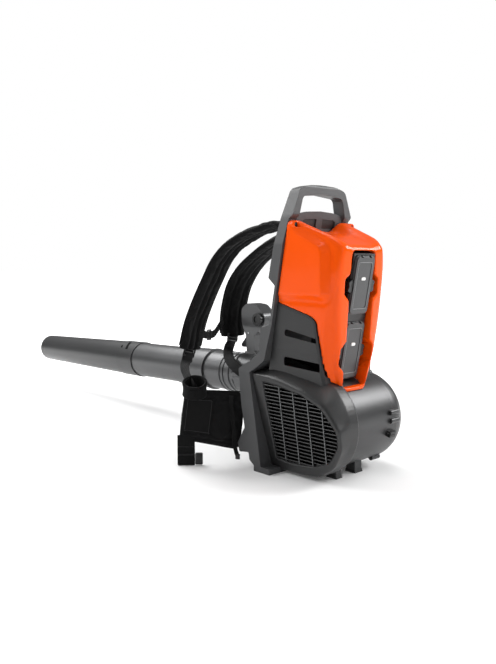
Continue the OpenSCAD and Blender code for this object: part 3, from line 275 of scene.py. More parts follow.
def mouldedGroup():
    # fine moulded grain, soft mottling, softened edges, and paler edges that stand partly for a little rubbing and
    # partly for a painted highlight along them
    tree, start, end = newGroup("MouldedSurface", [
        ("Colour", "NodeSocketColor", (0.1, 0.1, 0.1, 1)), ("Edge Colour", "NodeSocketColor", (0.2, 0.2, 0.2, 1)),
        ("Roughness", "NodeSocketFloat", 0.5), ("Grain Scale", "NodeSocketFloat", 900.0),
        ("Grain Height", "NodeSocketFloat", 0.2), ("Edge Width", "NodeSocketFloat", 0.001),
        ("Edge Rub", "NodeSocketFloat", 0.3), ("Mottle", "NodeSocketFloat", 0.1)],
        [("Colour", "NodeSocketColor"), ("Roughness", "NodeSocketFloat"), ("Normal", "NodeSocketVector")])
    where = node(tree, "ShaderNodeTexCoord").outputs["Object"]
    grain = node(tree, "ShaderNodeTexNoise", {"Detail": 3.0, "Roughness": 0.6})
    broad = node(tree, "ShaderNodeTexNoise", {"Scale": 14.0, "Detail": 4.0})
    rubAndHighlightNoise = node(tree, "ShaderNodeTexNoise", {"Scale": 160.0, "Detail": 5.0, "Roughness": 0.7})
    soft = node(tree, "ShaderNodeBevel", samples=6)
    geometry = node(tree, "ShaderNodeNewGeometry")
    wire(tree, (where, grain.inputs["Vector"]), (where, broad.inputs["Vector"]), (where, rubAndHighlightNoise.inputs["Vector"]),
         (start.outputs["Grain Scale"], grain.inputs["Scale"]),
         (start.outputs["Edge Width"], soft.inputs["Radius"]))
    dot = node(tree, "ShaderNodeVectorMath", operation="DOT_PRODUCT")
    wire(tree, (soft.outputs[0], dot.inputs[0]), (geometry.outputs["Normal"], dot.inputs[1]))
    # the edges' mask, where the softened normal turns from the true one, broken up by noise: it pales them, partly
    # rubbing and partly a painted highlight
    edge = mathNode(tree, "SUBTRACT", 1.0, dot.outputs["Value"])
    edge = mathNode(tree, "MULTIPLY", edge, 6.0, clamp=True)
    edge = mathNode(tree, "MULTIPLY", edge, rubAndHighlightNoise.outputs["Fac"])
    edge = mathNode(tree, "MULTIPLY", edge, start.outputs["Edge Rub"], clamp=True)
    spread = mathNode(tree, "SUBTRACT", broad.outputs["Fac"], 0.5)
    spread = mathNode(tree, "MULTIPLY", spread, start.outputs["Mottle"])
    shade = mathNode(tree, "ADD", spread, 1.0)
    tint = node(tree, "ShaderNodeVectorMath", operation="SCALE")
    wire(tree, (start.outputs["Colour"], tint.inputs[0]), (shade, tint.inputs["Scale"]))
    colour = mixColour(tree, edge, tint.outputs[0], start.outputs["Edge Colour"])
    rough = mathNode(tree, "ADD", start.outputs["Roughness"], spread, clamp=True)
    bump = node(tree, "ShaderNodeBump", {"Distance": 0.0003})
    wire(tree, (start.outputs["Grain Height"], bump.inputs["Strength"]),
         (grain.outputs["Fac"], bump.inputs["Height"]), (soft.outputs[0], bump.inputs["Normal"]),
         (colour, end.inputs["Colour"]), (rough, end.inputs["Roughness"]),
         (bump.outputs[0], end.inputs["Normal"]))
    return tree


def weaveGroup():
    # over and under threads, from the piece's own UV map in metres
    tree, start, end = newGroup("ClothWeave", [
        ("Threads", "NodeSocketFloat", 700.0), ("Slub", "NodeSocketFloat", 0.4)],
        [("Height", "NodeSocketFloat"), ("Shade", "NodeSocketFloat")])
    where = node(tree, "ShaderNodeUVMap")
    split = node(tree, "ShaderNodeSeparateXYZ")
    wire(tree, (where.outputs[0], split.inputs[0]))
    weft, warp = (mathNode(tree, "SINE", mathNode(tree, "MULTIPLY", split.outputs[axis], start.outputs["Threads"]))
                  for axis in ("X", "Y"))
    both = mathNode(tree, "MULTIPLY", weft, warp)
    height = mathNode(tree, "MULTIPLY", mathNode(tree, "ADD", both, 1.0), 0.5)
    slub = node(tree, "ShaderNodeTexNoise", {"Scale": 90.0, "Detail": 4.0, "Roughness": 0.65})
    wire(tree, (node(tree, "ShaderNodeTexCoord").outputs["Object"], slub.inputs["Vector"]))
    extra = mathNode(tree, "MULTIPLY", mathNode(tree, "SUBTRACT", slub.outputs["Fac"], 0.5), start.outputs["Slub"])
    wire(tree, (mathNode(tree, "ADD", height, extra), end.inputs["Height"]),
         (mathNode(tree, "ADD", mathNode(tree, "MULTIPLY", height, 0.5), extra), end.inputs["Shade"]))
    return tree


mouldedTree = mouldedGroup()
weaveTree = weaveGroup()


def moulded(name, colour, roughness, edge=None, grain=0.2, width=0.0008, rubAndHighlight=0.3, mottle=0.08, **sockets):
    # an edge colour that isn't given is a little paler than the piece: rubbing and a painted edge highlight
    material, tree, shader = newMaterial(name)
    surface = node(tree, "ShaderNodeGroup", node_tree=mouldedTree)
    edge = edge or tuple(min(1, c * 1.9 + 0.02) for c in colour)
    for key, value in {"Colour": (*colour, 1), "Edge Colour": (*edge, 1), "Roughness": roughness,
                       "Grain Height": grain, "Edge Width": width, "Edge Rub": rubAndHighlight, "Mottle": mottle}.items():
        surface.inputs[key].default_value = value
    for key, value in sockets.items():
        shader.inputs[key.replace("_", " ")].default_value = value
    wire(tree, (surface.outputs["Colour"], shader.inputs["Base Color"]),
         (surface.outputs["Roughness"], shader.inputs["Roughness"]),
         (surface.outputs["Normal"], shader.inputs["Normal"]))
    return material


def cloth(name, dark, light, threads, height=0.5, roughness=0.9, sheen=0.05):
    material, tree, shader = newMaterial(name)
    weave = node(tree, "ShaderNodeGroup", {"Threads": float(threads)}, node_tree=weaveTree)
    bump = node(tree, "ShaderNodeBump", {"Strength": height, "Distance": 0.0006})
    colour = mixColour(tree, weave.outputs["Shade"], (*dark, 1), (*light, 1))
    wire(tree, (weave.outputs["Height"], bump.inputs["Height"]), (bump.outputs[0], shader.inputs["Normal"]),
         (colour, shader.inputs["Base Color"]))
    for key, value in (("Roughness", roughness), ("Sheen Weight", sheen), ("Sheen Roughness", 0.5),
                       ("Specular IOR Level", 0.18)):
        shader.inputs[key].default_value = value
    return material


finishes = {
    "frameGrey": moulded("frameGrey", (0.05, 0.051, 0.053), 0.48, grain=0.35, rubAndHighlight=0.25),
    "housingGrey": moulded("housingGrey", (0.055, 0.0555, 0.057), 0.36, grain=0.16, rubAndHighlight=0.2, width=0.0012,
                           Metallic=0.45),
    "sideGrey": moulded("sideGrey", (0.014, 0.0142, 0.0148), 0.42, grain=0.3),
    "tubeGrey": moulded("tubeGrey", (0.085, 0.086, 0.088), 0.36, grain=0.1, width=0.0006, Metallic=0.6),
    "nozzleGrey": moulded("nozzleGrey", (0.045, 0.0455, 0.0465), 0.37, grain=0.12, width=0.0006, Metallic=0.4),
    "shellOrange": moulded("shellOrange", (0.93, 0.09, 0.002), 0.2, edge=(1.0, 0.2, 0.05), grain=0.03,
                           width=0.0001, rubAndHighlight=0.0, mottle=0.03, Coat_Weight=0.05, Coat_Roughness=0.04,
                           Specular_IOR_Level=0.15),
    "packGrey": moulded("packGrey", (0.04, 0.041, 0.043), 0.36, grain=0.3),
    "blackPlastic": moulded("blackPlastic", (0.008, 0.008, 0.0085), 0.42, grain=0.3),
    # a matte near-black for the bayonet's slot: painted shade in place of its recess
    "slotPaintedShade": moulded("slotPaintedShade", (0.002, 0.002, 0.002), 0.85, grain=0.0, rubAndHighlight=0.0, Specular_IOR_Level=0.1),
    "whitePlastic": moulded("whitePlastic", (0.82, 0.82, 0.8), 0.3, grain=0.02, rubAndHighlight=0.1),
    "sealRubber": moulded("sealRubber", (0.013, 0.013, 0.014), 0.62, grain=0.4, rubAndHighlight=0.1),
    "foldRubber": moulded("foldRubber", (0.02, 0.02, 0.021), 0.48, grain=0.3, rubAndHighlight=0.2),
    "brushedSteel": moulded("brushedSteel", (0.55, 0.56, 0.57), 0.32, edge=(0.75, 0.76, 0.77), grain=0.08,
                            Metallic=1.0),
    "blackSteel": moulded("blackSteel", (0.03, 0.03, 0.032), 0.38, grain=0.1, Metallic=0.8),
    "intakeGrey": moulded("intakeGrey", (0.024, 0.0243, 0.025), 0.4, grain=0.2, rubAndHighlight=0.0, width=0.0001,
                          Metallic=0.15),
    "castAluminium": moulded("castAluminium", (0.52, 0.53, 0.54), 0.45, grain=0.4, Metallic=1.0),
    "boardGreen": moulded("boardGreen", (0.02, 0.12, 0.05), 0.4, grain=0.1),
    "cellBlue": moulded("cellBlue", (0.04, 0.1, 0.26), 0.3, grain=0.05),
    "ribGrey": moulded("ribGrey", (0.2, 0.205, 0.21), 0.5, grain=0.1, rubAndHighlight=0.1),
    "padCloth": cloth("padCloth", (0.002, 0.002, 0.0022), (0.011, 0.011, 0.0115), threads=1900),
    "meshCloth": cloth("meshCloth", (0.0015, 0.0015, 0.0015), (0.009, 0.009, 0.0095), threads=1500, height=0.8),
    "webbingBlack": cloth("webbingBlack", (0.0015, 0.0015, 0.0016), (0.008, 0.008, 0.0085), threads=2200,
                          height=0.7, roughness=0.75, sheen=0.02),
    "threadBlack": moulded("threadBlack", (0.016, 0.016, 0.017), 0.7, grain=0.1),
}

cadFinish = {
    "frameGrey": ["back_frame", "top_vent_panel"],
    "sideGrey": ["side_housing_left", "side_housing_right"],
    "shellOrange": ["battery_cover"],
    "sealRubber": ["cover_seal", "rear_feet"],
    "foldRubber": ["bellows"],
    "housingGrey": ["fan_housing", "scroll_cover", "inlet_ring"],
    "intakeGrey": ["intake_cover"],
    "nozzleGrey": ["nozzle"],
    "tubeGrey": ["swivel_sleeve", "rear_tube", "tube_collar", "front_tube", "handle_clamp_upper",
                 "handle_clamp_lower", "grip_left", "grip_right"],
    "blackPlastic": ["battery_tray", "bay_contacts", "intake_grille", "lead_clip", "fan_wheel", "trigger",
                     "throttle_switch", "cruise_dial", "battery_upper_latch_left", "battery_upper_latch_right",
                     "battery_lower_latch_left", "battery_lower_latch_right"],
    "packGrey": ["battery_upper", "battery_lower"],
    "whitePlastic": ["battery_upper_button", "battery_lower_button"],
    "brushedSteel": ["motor_shaft", "shaft_bearings", "fan_nut", "bellows_rear_clamp", "bellows_front_clamp",
                     "trigger_pin", "motor_stator"],
    "blackSteel": ["housing_screws", "tube_screws"],
    "castAluminium": ["heat_sink", "motor_bracket"],
    "boardGreen": ["motor_controller"],
    "cellBlue": ["battery_upper_cells", "battery_lower_cells"],
    "padCloth": ["back_pad", "lumbar_pad", "shoulder_pad_left", "shoulder_pad_right", "hip_pad_left",
                 "hip_pad_right"],
    "webbingBlack": ["harness_webbing", "sternum_strap", "hip_belt"],
}
for finish, names in cadFinish.items():
    for n in names:
        nodes[n].data.materials.clear()
        nodes[n].data.materials.append(finishes[finish])
print("finishes made")


def dress(obj, finish, body):
    obj.data.materials.clear()
    obj.data.materials.append(finishes[finish])
    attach(obj, body)
    return obj


# soft goods
def through(points, step):
    # a smooth line through the points, divided evenly
    p = [Vector(q) for q in points]
    p = [p[0] * 2 - p[1]] + p + [p[-1] * 2 - p[-2]]
    dense = []
    for i in range(1, len(p) - 2):
        for j in range(24):
            t = j / 24
            dense.append(0.5 * ((2 * p[i]) + (p[i + 1] - p[i - 1]) * t
                                + (2 * p[i - 1] - 5 * p[i] + 4 * p[i + 1] - p[i + 2]) * t * t
                                + (3 * p[i] - p[i - 1] - 3 * p[i + 1] + p[i + 2]) * t ** 3))
    dense.append(p[-2])
    gone = [0.0]
    for a, b in zip(dense, dense[1:]):
        gone.append(gone[-1] + (b - a).length)
    count = max(2, round(gone[-1] / step))
    line, k = [], 0
    for i in range(count + 1):
        want = gone[-1] * i / count
        while k < len(gone) - 2 and gone[k + 1] < want:
            k += 1
        share = (want - gone[k]) / max(1e-9, gone[k + 1] - gone[k])
        line.append(dense[k].lerp(dense[k + 1], share))
    return line


def framesOf(line, sides):
    # at each point the directions along, to the side and up; sides are given from start to end
    found = []
    for i, p in enumerate(line):
        along = (line[min(i + 1, len(line) - 1)] - line[max(i - 1, 0)]).normalized()
        at = i / (len(line) - 1) * (len(sides) - 1)
        k = min(int(at), len(sides) - 2) if len(sides) > 1 else 0
        side = Vector(sides[k]).lerp(Vector(sides[k + 1]), at - k) if len(sides) > 1 else Vector(sides[0])
        side = (side - along * side.dot(along)).normalized()
        found.append((p, along, side, along.cross(side)))
    return found


def sweepSection(name, frames, section, step):
    # section(i) gives the ring of (across, up) at frame i, with as many points in each
    verts, uv, faces = [], [], []
    rings = [section(i) for i in range(len(frames))]
    n = len(rings[0])
    for i, ((p, along, side, up), ring) in enumerate(zip(frames, rings)):
        run = 0.0
        for j, (a, b) in enumerate(ring):
            if j:
                run += math.hypot(a - ring[j - 1][0], b - ring[j - 1][1])
            verts.append(p + side * a + up * b)
            uv.append((run, i * step))
    for i in range(len(frames) - 1):
        for j in range(n):
            k = (j + 1) % n
            faces.append((i * n + j, i * n + k, (i + 1) * n + k, (i + 1) * n + j))
    faces.append(tuple(range(n - 1, -1, -1)))
    faces.append(tuple((len(frames) - 1) * n + j for j in range(n)))
    return fromData(name, verts, faces, uv)


# half of a woven strip's section, in shares of its half width and half thickness
stripProfile = ((-1, 0.3), (-0.9, 1), (-0.5, 0.86), (0, 0.8), (0.5, 0.86), (0.9, 1), (1, 0.3))


def strap(name, path, sides, width, thick, step=0.003):
    w, t = width / 2, thick / 2
    ring = [(w * a, -t * b) for a, b in stripProfile] + [(w * a, t * b) for a, b in reversed(stripProfile)]
    return smooth(sweepSection(name, framesOf(through(path, step), sides), lambda i: ring, step), 50)


def rope(name, path, radius, step=0.004, sides=8):
    frames = framesOf(through(path, step), [(0.31, 0.9, 0.3)])
    turns = [math.tau * j / sides for j in range(sides)]
    ring = [(radius * math.cos(a), radius * math.sin(a)) for a in turns]
    return smooth(sweepSection(name, frames, lambda i: ring, step), 60)


padSetup = {
    "edge": 0.0008,          # half its thickness where it is sewn shut
    "power": 3.4,            # how flat it is before it drops to its sides
    "groove": 0.42,          # the share of its height that a seam draws in
    "grooveWidth": 0.0026,
    "endLength": 0.016,      # how far its rounded ends reach
    "endNarrow": 0.1,        # the share of its width that they lose
}
padStep = 0.0034


def swell(u):
    # a pad's height across it, from 0 at its sides to 1 in its middle
    return (1 - abs(u) ** padSetup["power"]) ** 0.5


def hold(obj, points):
    # the points that stay where they are while the rest swells
    group = obj.vertex_groups.get("sewn") or obj.vertex_groups.new(name="sewn")
    group.add(points, 1.0, "REPLACE")


def padShell(name, s, sides, seams, step=padStep, lanes=24, ends=(0.6, 0.5), under=0.5, taper=None):
    # a closed padded band: seams are the shares of its half width where it is sewn through, ends the shares of its
    # height left at its two ends, and under the share of its thickness that lies below the path
    t, width, thick = padSetup, s["width"], s["thick"]
    frames = framesOf(through(s["path"], step), sides)
    columns = [-1 + 2 * j / lanes for j in range(lanes + 1)]
    columns = [math.copysign(abs(u) ** 0.86, u) for u in columns]
    for seam in seams:
        near = min(range(len(columns)), key=lambda j: abs(columns[j] - seam))
        columns[near] = seam

    def crown(u, end):
        rise = swell(u) * end
        for seam in seams:
            rise *= 1 - t["groove"] * math.exp(-((u - seam) * width / 2 / t["grooveWidth"]) ** 2)
        return rise

    def section(i):
        end, narrow = 1.0, 1.0
        for distance, keep in ((i * step, ends[0]), ((len(frames) - 1 - i) * step, ends[1])):
            if distance < t["endLength"]:
                rounding = math.sqrt(max(0.0, 1 - (1 - distance / t["endLength"]) ** 2))
                end *= keep + (1 - keep) * rounding
                narrow *= 1 - t["endNarrow"] + t["endNarrow"] * rounding
        w = width / 2 * narrow * (taper(i / (len(frames) - 1)) if taper else 1)
        top = [(u * w, t["edge"] + thick * (1 - under) * crown(u, end)) for u in columns]
        bottom = [(u * w, -t["edge"] - thick * under * crown(u, end)) for u in reversed(columns)]
        return top + bottom

    obj = sweepSection(name, frames, section, step)
    n = 2 * len(columns)
    sewn = [j for j, u in enumerate(columns) if abs(u) > 0.985 or any(abs(u - seam) < 1e-6 for seam in seams)]
    sewn += [n - 1 - j for j in sewn]
    held = [i * n + j for i in range(len(frames)) for j in sewn]
    held += [i * n + j for i in (0, 1, len(frames) - 2, len(frames) - 1) for j in range(n)]
    hold(obj, sorted(set(held)))
    return obj, frames, columns


clothSetup = {"quality": 4, "mass": 0.25, "tension_stiffness": 18, "compression_stiffness": 18,
              "shear_stiffness": 8, "bending_stiffness": 0.4, "vertex_group_mass": "sewn", "pin_stiffness": 1}
clothFrames = 18


def puff(obj, pressure, cap, shrink):
    # swells the cloth between its seams, no point further than the cap, and keeps what it made
    activate(obj)
    before = [v.co.copy() for v in obj.data.vertices]
    swelling = obj.modifiers.new("Cloth", "CLOTH")
    for key, value in clothSetup.items():
        setattr(swelling.settings, key, value)
    swelling.settings.shrink_min = shrink
    swelling.settings.use_pressure = True
    swelling.settings.uniform_pressure_force = pressure
    swelling.settings.effector_weights.gravity = 0
    swelling.collision_settings.use_collision = False
    swelling.point_cache.frame_start = 1
    swelling.point_cache.frame_end = clothFrames
    scene = bpy.context.scene
    for f in range(1, clothFrames + 1):
        scene.frame_set(f)
    bpy.ops.object.modifier_apply(modifier=swelling.name)
    scene.frame_set(1)
    for v, old in zip(obj.data.vertices, before):
        move = v.co - old
        if move.length > cap:
            v.co = old + move * (cap / move.length)
    obj.data.update()


def soften(obj):
    finishWith(obj, "SUBSURF", levels=1, render_levels=1)
    return smooth(obj, 80)


def addPiping(name, frames, width, radius, out, taper=None):
    # a cord along both sides of a pad
    n = len(frames) - 1
    for side, letter in ((-1, "A"), (1, "B")):
        edge = [p + across * (side * (width / 2 * (taper(i / n) if taper else 1) + out))
                for i, (p, along, across, up) in enumerate(frames)]
        dress(rope(name + "Piping" + letter, edge, radius), "webbingBlack", "frame")


shoulderLeft = {
    "path": [(0.0215, -0.0502, 0.4945), (0.006, -0.0508, 0.506), (-0.014, -0.054, 0.511), (-0.044, -0.059, 0.505),
             (-0.08, -0.066, 0.494), (-0.124, -0.076, 0.471), (-0.158, -0.082, 0.44), (-0.19, -0.085, 0.393),
             (-0.22, -0.087, 0.345), (-0.244, -0.089, 0.298), (-0.2585, -0.091, 0.252), (-0.2625, -0.0925, 0.233)],
    "seams": (-0.26, 0.26), "width": 0.06, "thick": 0.0155, "sides": [(0, 1, 0), (0.02, 1, 0), (0.1, 1, 0)],
}
shoulderRight = {
    "path": [(0.0195, 0.0502, 0.4885), (0.002, 0.052, 0.497), (-0.05, 0.058, 0.497), (-0.11, 0.066, 0.488),
             (-0.176, 0.074, 0.462), (-0.236, 0.078, 0.425), (-0.278, 0.08, 0.38), (-0.298, 0.08, 0.33),
             (-0.306, 0.08, 0.285), (-0.304, 0.08, 0.248)],
    "seams": (-0.4, 0.4), "width": 0.064, "thick": 0.016,
    "sides": [(0, 1, 0), (0.12, 1, 0), (0.4, 1, 0), (0.45, 1, 0)],
}


def stitches(name, frames, at, height, length=0.0042, width=0.0007, rise=0.0005, every=2):
    # a row of short stitches along a seam
    verts, faces = [], []
    for i in range(3, len(frames) - 3, every):
        p, along, side, up = frames[i]
        q = p + side * at + up * height
        a, b, c = along * (length * 0.5), side * (width / 2), up * math.copysign(rise, height)
        k = len(verts)
        verts += [q - a - b, q - a + b, q + a + b, q + a - b, q - a * 0.6 + c, q + a * 0.6 + c]
        faces += [(k, k + 1, k + 4), (k + 1, k + 2, k + 5, k + 4), (k + 2, k + 3, k + 5), (k + 3, k, k + 4, k + 5),
                  (k + 3, k + 2, k + 1, k)]
    return fromData(name, verts, faces)


def addShoulder(name, s, solid):
    pad, frames, columns = padShell(name, s, s["sides"], s["seams"])
    puff(pad, 7.0, 0.004, -0.012)
    soften(pad)
    dress(pad, "padCloth", "frame")
    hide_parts(solid)
    addPiping(name, frames[3:-3], s["width"], 0.0017, 0.0004)
    height = padSetup["edge"] + s["thick"] * 0.5 * padSetup["groove"]
    rows = [(u, face) for u in s["seams"] for face in (-1, 1)]
    for (u, face), letter in zip(rows, "ABCD"):
        row = stitches(name + "Stitch" + letter, frames, u * s["width"] / 2, face * height)
        dress(row, "threadBlack", "frame")


addShoulder("shoulderPadLeft", shoulderLeft, "shoulder_pad_left")
addShoulder("shoulderPadRight", shoulderRight, "shoulder_pad_right")
print("shoulder pads made")


leanAngle = 10
lean = Matrix.Rotation(math.radians(leanAngle), 4, "Y")


def leaning(x, y, z):
    # a place that is given as if the frame's back stood upright
    return lean @ Vector((x, y, z))


# the two cushions on the frame: their backs are flat where they rest on it
backCushion = {"path": [leaning(-0.0462, 0, z) for z in (0.335, 0.366, 0.398, 0.43, 0.461)],
               "width": 0.176, "thick": 0.021, "seams": (-0.36, 0.36)}
lumbarCushion = {"path": [(-0.0632, -0.042, z) for z in (0.0445, 0.08, 0.118, 0.156, 0.1915)], "width": 0.104,
                 "thick": 0.0155, "seams": (-0.34, 0.34)}


def addCushion(name, s, solid):
    pad, frames, columns = padShell(name, s, [(0, 1, 0)], s["seams"], step=0.0042, lanes=30, ends=(0.25, 0.25),
                                    under=0.04)
    # its back is the face that lies the other way from up
    n, row = len(columns), 9
    low = [i * 2 * n + j for i in range(len(frames)) for j in range(n, 2 * n)]
    top = sorted(set(range(len(pad.data.vertices))) - set(low))
    place, along, side, up = frames[row]
    lowIsBack = (pad.data.vertices[low[n * row + n // 2]].co - place).dot(up) < 0
    hold(pad, low if lowIsBack else top)
    puff(pad, 3.0, 0.003, -0.03)
    soften(pad)
    dress(pad, "meshCloth", "frame")
    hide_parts(solid)
    addPiping(name, frames[4:-4], s["width"], 0.0016, -0.0004)


addCushion("backCushion", backCushion, "back_pad")
addCushion("lumbarCushion", lumbarCushion, "lumbar_pad")
print("back and lumbar cushions made")


# the hip pads differ in their paths; the patch is from and to along the pad, then low and high across it
hipShape = {"patch": (0.5, 0.93, -0.62, 0.7), "width": 0.123, "thick": 0.0135, "taper": 0.13}
hipLeft = {**hipShape, "path": [
    (-0.075, -0.0975, 0.096), (-0.088, -0.1085, 0.098), (-0.106, -0.132, 0.102), (-0.132, -0.164, 0.107),
    (-0.15, -0.184, 0.11), (-0.1605, -0.1965, 0.112)]}
hipRight = {**hipShape, "path": [
    (-0.074, 0.0145, 0.096), (-0.088, 0.0195, 0.098), (-0.116, 0.0245, 0.102), (-0.146, 0.0245, 0.106),
    (-0.172, 0.0205, 0.11), (-0.1895, 0.0165, 0.112)]}


def addHip(name, s, solid, outward):
    def taper(t):
        return 1 - s["taper"] * t

    pad, frames, columns = padShell(name, s, [(0, 0, 1)], (-0.84, 0.9), lanes=34, ends=(0.5, 0.5), taper=taper)
    start, end, low, high = s["patch"]
    n, m = len(columns), len(frames)
    first, last = round(start * m), round(end * m)
    under = [i * 2 * n + j for i in range(first, last) for k, u in enumerate(columns)
             if low <= u <= high for j in (k, 2 * n - 1 - k)]
    hold(pad, sorted(set(under)))
    puff(pad, 2.6, 0.0055, -0.07)
    soften(pad)
    dress(pad, "padCloth", "frame")
    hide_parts(solid)
    # the sewn patch, a little proud of the pad
    rows = range(first, last + 1)
    across = [low + (high - low) * k / 16 for k in range(17)]

    def skin(i, u, lift):
        # a place above the pad's outer face
        i = min(i, m - 1)
        p, along, side, up = frames[i]
        rise = padSetup["edge"] + s["thick"] * 0.5 * swell(u)
        return p + side * (u * s["width"] / 2 * taper(i / (m - 1))) + up * (outward * (rise + lift))

    verts = [skin(i, u, 0.0012) for i in rows for u in across]
    uv = [(i * padStep, u * s["width"] / 2) for i in range(len(rows)) for u in across]
    w = len(across)
    faces = [(i * w + k, i * w + k + 1, (i + 1) * w + k + 1, (i + 1) * w + k)
             for i in range(len(rows) - 1) for k in range(w - 1)]
    patch = fromData(name + "Patch", verts, faces, uv)
    finishWith(patch, "SOLIDIFY", thickness=0.0022, offset=0)
    finishWith(patch, "BEVEL", width=0.0006, segments=2, limit_method="ANGLE")
    smooth(patch, 50)
    dress(patch, "webbingBlack", "frame")
    around = [(i, low + 0.05) for i in rows] + [(rows[-1] - 1, u) for u in across] + \
        [(i, high - 0.05) for i in reversed(rows)] + [(rows[0] + 1, u) for u in reversed(across)]
    thread = rope(name + "PatchSeam", [skin(i, u, 0.0024) for i, u in around[::3]], 0.0005, sides=5)
    dress(thread, "threadBlack", "frame")
    addPiping(name, frames[4:-4], s["width"], 0.0018, 0.0002, taper)


addHip("hipPadLeft", hipLeft, "hip_pad_left", -1)
addHip("hipPadRight", hipRight, "hip_pad_right", 1)
print("hip pads made")


def addWeb(name, path, sides, width=0.025, thick=0.0022):
    # a strip of webbing that stays with the frame
    return dress(strap(name, path, sides, width, thick), "webbingBlack", "frame")


webs = {
    "webbingLeft": {"path": [(-0.2615, -0.0925, 0.24), (-0.262, -0.0955, 0.225), (-0.2545, -0.107, 0.21),
                             (-0.232, -0.13, 0.2), (-0.198, -0.152, 0.188), (-0.168, -0.168, 0.18),
                             (-0.149, -0.176, 0.17), (-0.142, -0.1745, 0.158)],
                    "sides": [(0, 1, 0), (0.15, 0.95, 0.2), (0.1, 0.5, 0.8), (0, 0.2, 1), (0.1, 0, 1)]},
    "webbingRight": {"path": [(-0.3035, 0.08, 0.258), (-0.304, 0.077, 0.238), (-0.294, 0.056, 0.218),
                              (-0.262, 0.03, 0.2), (-0.225, 0.017, 0.185), (-0.194, 0.015, 0.172),
                              (-0.178, 0.019, 0.162), (-0.173, 0.0195, 0.152)],
                     "sides": [(0, 1, 0), (0, 1, 0.2), (0, 0.6, 0.8), (0, 0, 1)]},
}
for name, t in webs.items():
    made = addWeb(name, t["path"], t["sides"])
    if name == "webbingLeft":
        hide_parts("harness_webbing")
sternum = addWeb("sternumStrap", [(-0.2625, -0.06, 0.269), (-0.27, -0.034, 0.262), (-0.284, 0, 0.262),
                                  (-0.3, 0.03, 0.276), (-0.309, 0.052, 0.289)], [(0, 0, 1)], 0.018, 0.002)
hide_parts("sternum_strap")


def slider(name, place, along, side, width=0.031, length=0.017, rod=0.0021):
    # a ladder-lock: a frame of round bars with one more across its middle
    c, along, side = Vector(place), Vector(along).normalized(), Vector(side)
    a = along * length / 2
    b = (side - along * side.dot(along)).normalized() * width / 2
    bars = []
    for p, q in ((c - a - b, c - a + b), (c + a - b, c + a + b), (c - b, c + b), (c - a - b, c + a - b),
                 (c - a + b, c + a + b)):
        bpy.ops.mesh.primitive_cylinder_add(vertices=12, radius=rod, depth=(q - p).length + rod * 1.6)
        bar = bpy.context.object
        turn = (q - p).to_track_quat("Z", "Y").to_matrix().to_4x4()
        bar.data.transform(Matrix.Translation((p + q) / 2) @ turn)
        bars.append(finishWith(bar, "BEVEL", width=rod * 0.5, segments=2, limit_method="ANGLE"))
    dress(smooth(joined(bars, name), 50), "blackPlastic", "frame")


slider("sliderLeft", (-0.2618, -0.0945, 0.226), (-0.05, -0.08, -0.3), (0, 1, 0))
slider("sliderRight", (-0.3038, 0.0786, 0.2455), (0, -0.15, -1), (0, 1, 0))
slider("sternumSlider", (-0.2735, -0.024, 0.2617), (-0.35, 1, -0.05), (0, 0, 1), width=0.023,
       length=0.014, rod=0.0016)

# the fabric ring on the near hip pad, open at its top and tipped sideways
ringSetup = {"centre": (-0.142, -0.175, 0.1675), "from": (-0.132, -0.164, 0), "to": (-0.16, -0.196, 0),
             "long": 0.024, "short": 0.0165, "height": 0.025, "tip": 0.0105}


def addRing(s):
    forward = (Vector(s["to"]) - Vector(s["from"])).normalized()
    sideways = Vector((forward.y, -forward.x, 0))
    loop = [Vector(s["centre"]) + forward * (s["long"] * math.cos(a)) + sideways * (s["short"] * math.sin(a))
            + Vector((0, 0, s["tip"] * math.sin(a))) for a in [math.tau * k / 28 for k in range(29)]]
    ring = strap("hipRing", loop, [(0, 0, 1)], s["height"], 0.0034, step=0.0025)
    dress(ring, "padCloth", "frame")
    hem = rope("hipRingHem", [p + Vector((0, 0, s["height"] / 2)) for p in loop], 0.003)
    dress(hem, "padCloth", "frame")


addRing(ringSetup)

# the hip belt's loop down to the floor, with its buckle
beltPlace = Matrix.Translation((-0.154, -0.19, 0.054)) @ Matrix.Rotation(math.radians(47), 4, "Z")


def onBelt(x, y, z):
    return beltPlace @ Vector((x, y, z))


beltSide = beltPlace.to_3x3() @ Vector((1, 0, 0))
beltLine = [(0, 0.0024, 0.012), (0, 0.0028, -0.0005), (0, 0.0031, -0.014), (0, 0.0026, -0.03), (0, 0.003, -0.044),
            (0, 0.0026, -0.05), (0, 0.0012, -0.0525), (0, -0.0012, -0.0525), (0, -0.0026, -0.05),
            (0, -0.003, -0.044), (0, -0.0024, -0.03), (0, -0.003, -0.014), (0, -0.0026, -0.0005), (0, -0.0022, 0.012)]
belt = strap("hipBelt", [onBelt(*p) for p in beltLine], [beltSide], 0.037, 0.0019, step=0.0022)
dress(belt, "webbingBlack", "frame")
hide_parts("hip_belt")
for k, z in enumerate((-0.012, -0.028, -0.03)):
    line = [onBelt(x, -0.0041, z) for x in (-0.0165, -0.006, 0.006, 0.0165)]
    row = rope("beltTack" + "ABC"[k], line, 0.0006, sides=5)
    dress(row, "threadBlack", "frame")
parts = [box("buckleBody", (0.0192, -0.0055, -0.0515), (0.0355, 0.0055, -0.0265), 0.0025, 3, beltPlace),
         box("buckleLip", (0.0225, -0.0068, -0.047), (0.0325, 0.0068, -0.031), 0.002, 3, beltPlace)]
dress(joined(parts, "beltBuckle"), "blackPlastic", "frame")
for k, z in enumerate((-0.0435, -0.0345)):
    rib = box("buckleRib" + "AB"[k], (0.0235, -0.0074, z - 0.0012), (0.0315, -0.0066, z + 0.0012), 0.0004, 2,
              beltPlace)
    dress(rib, "blackPlastic", "frame")

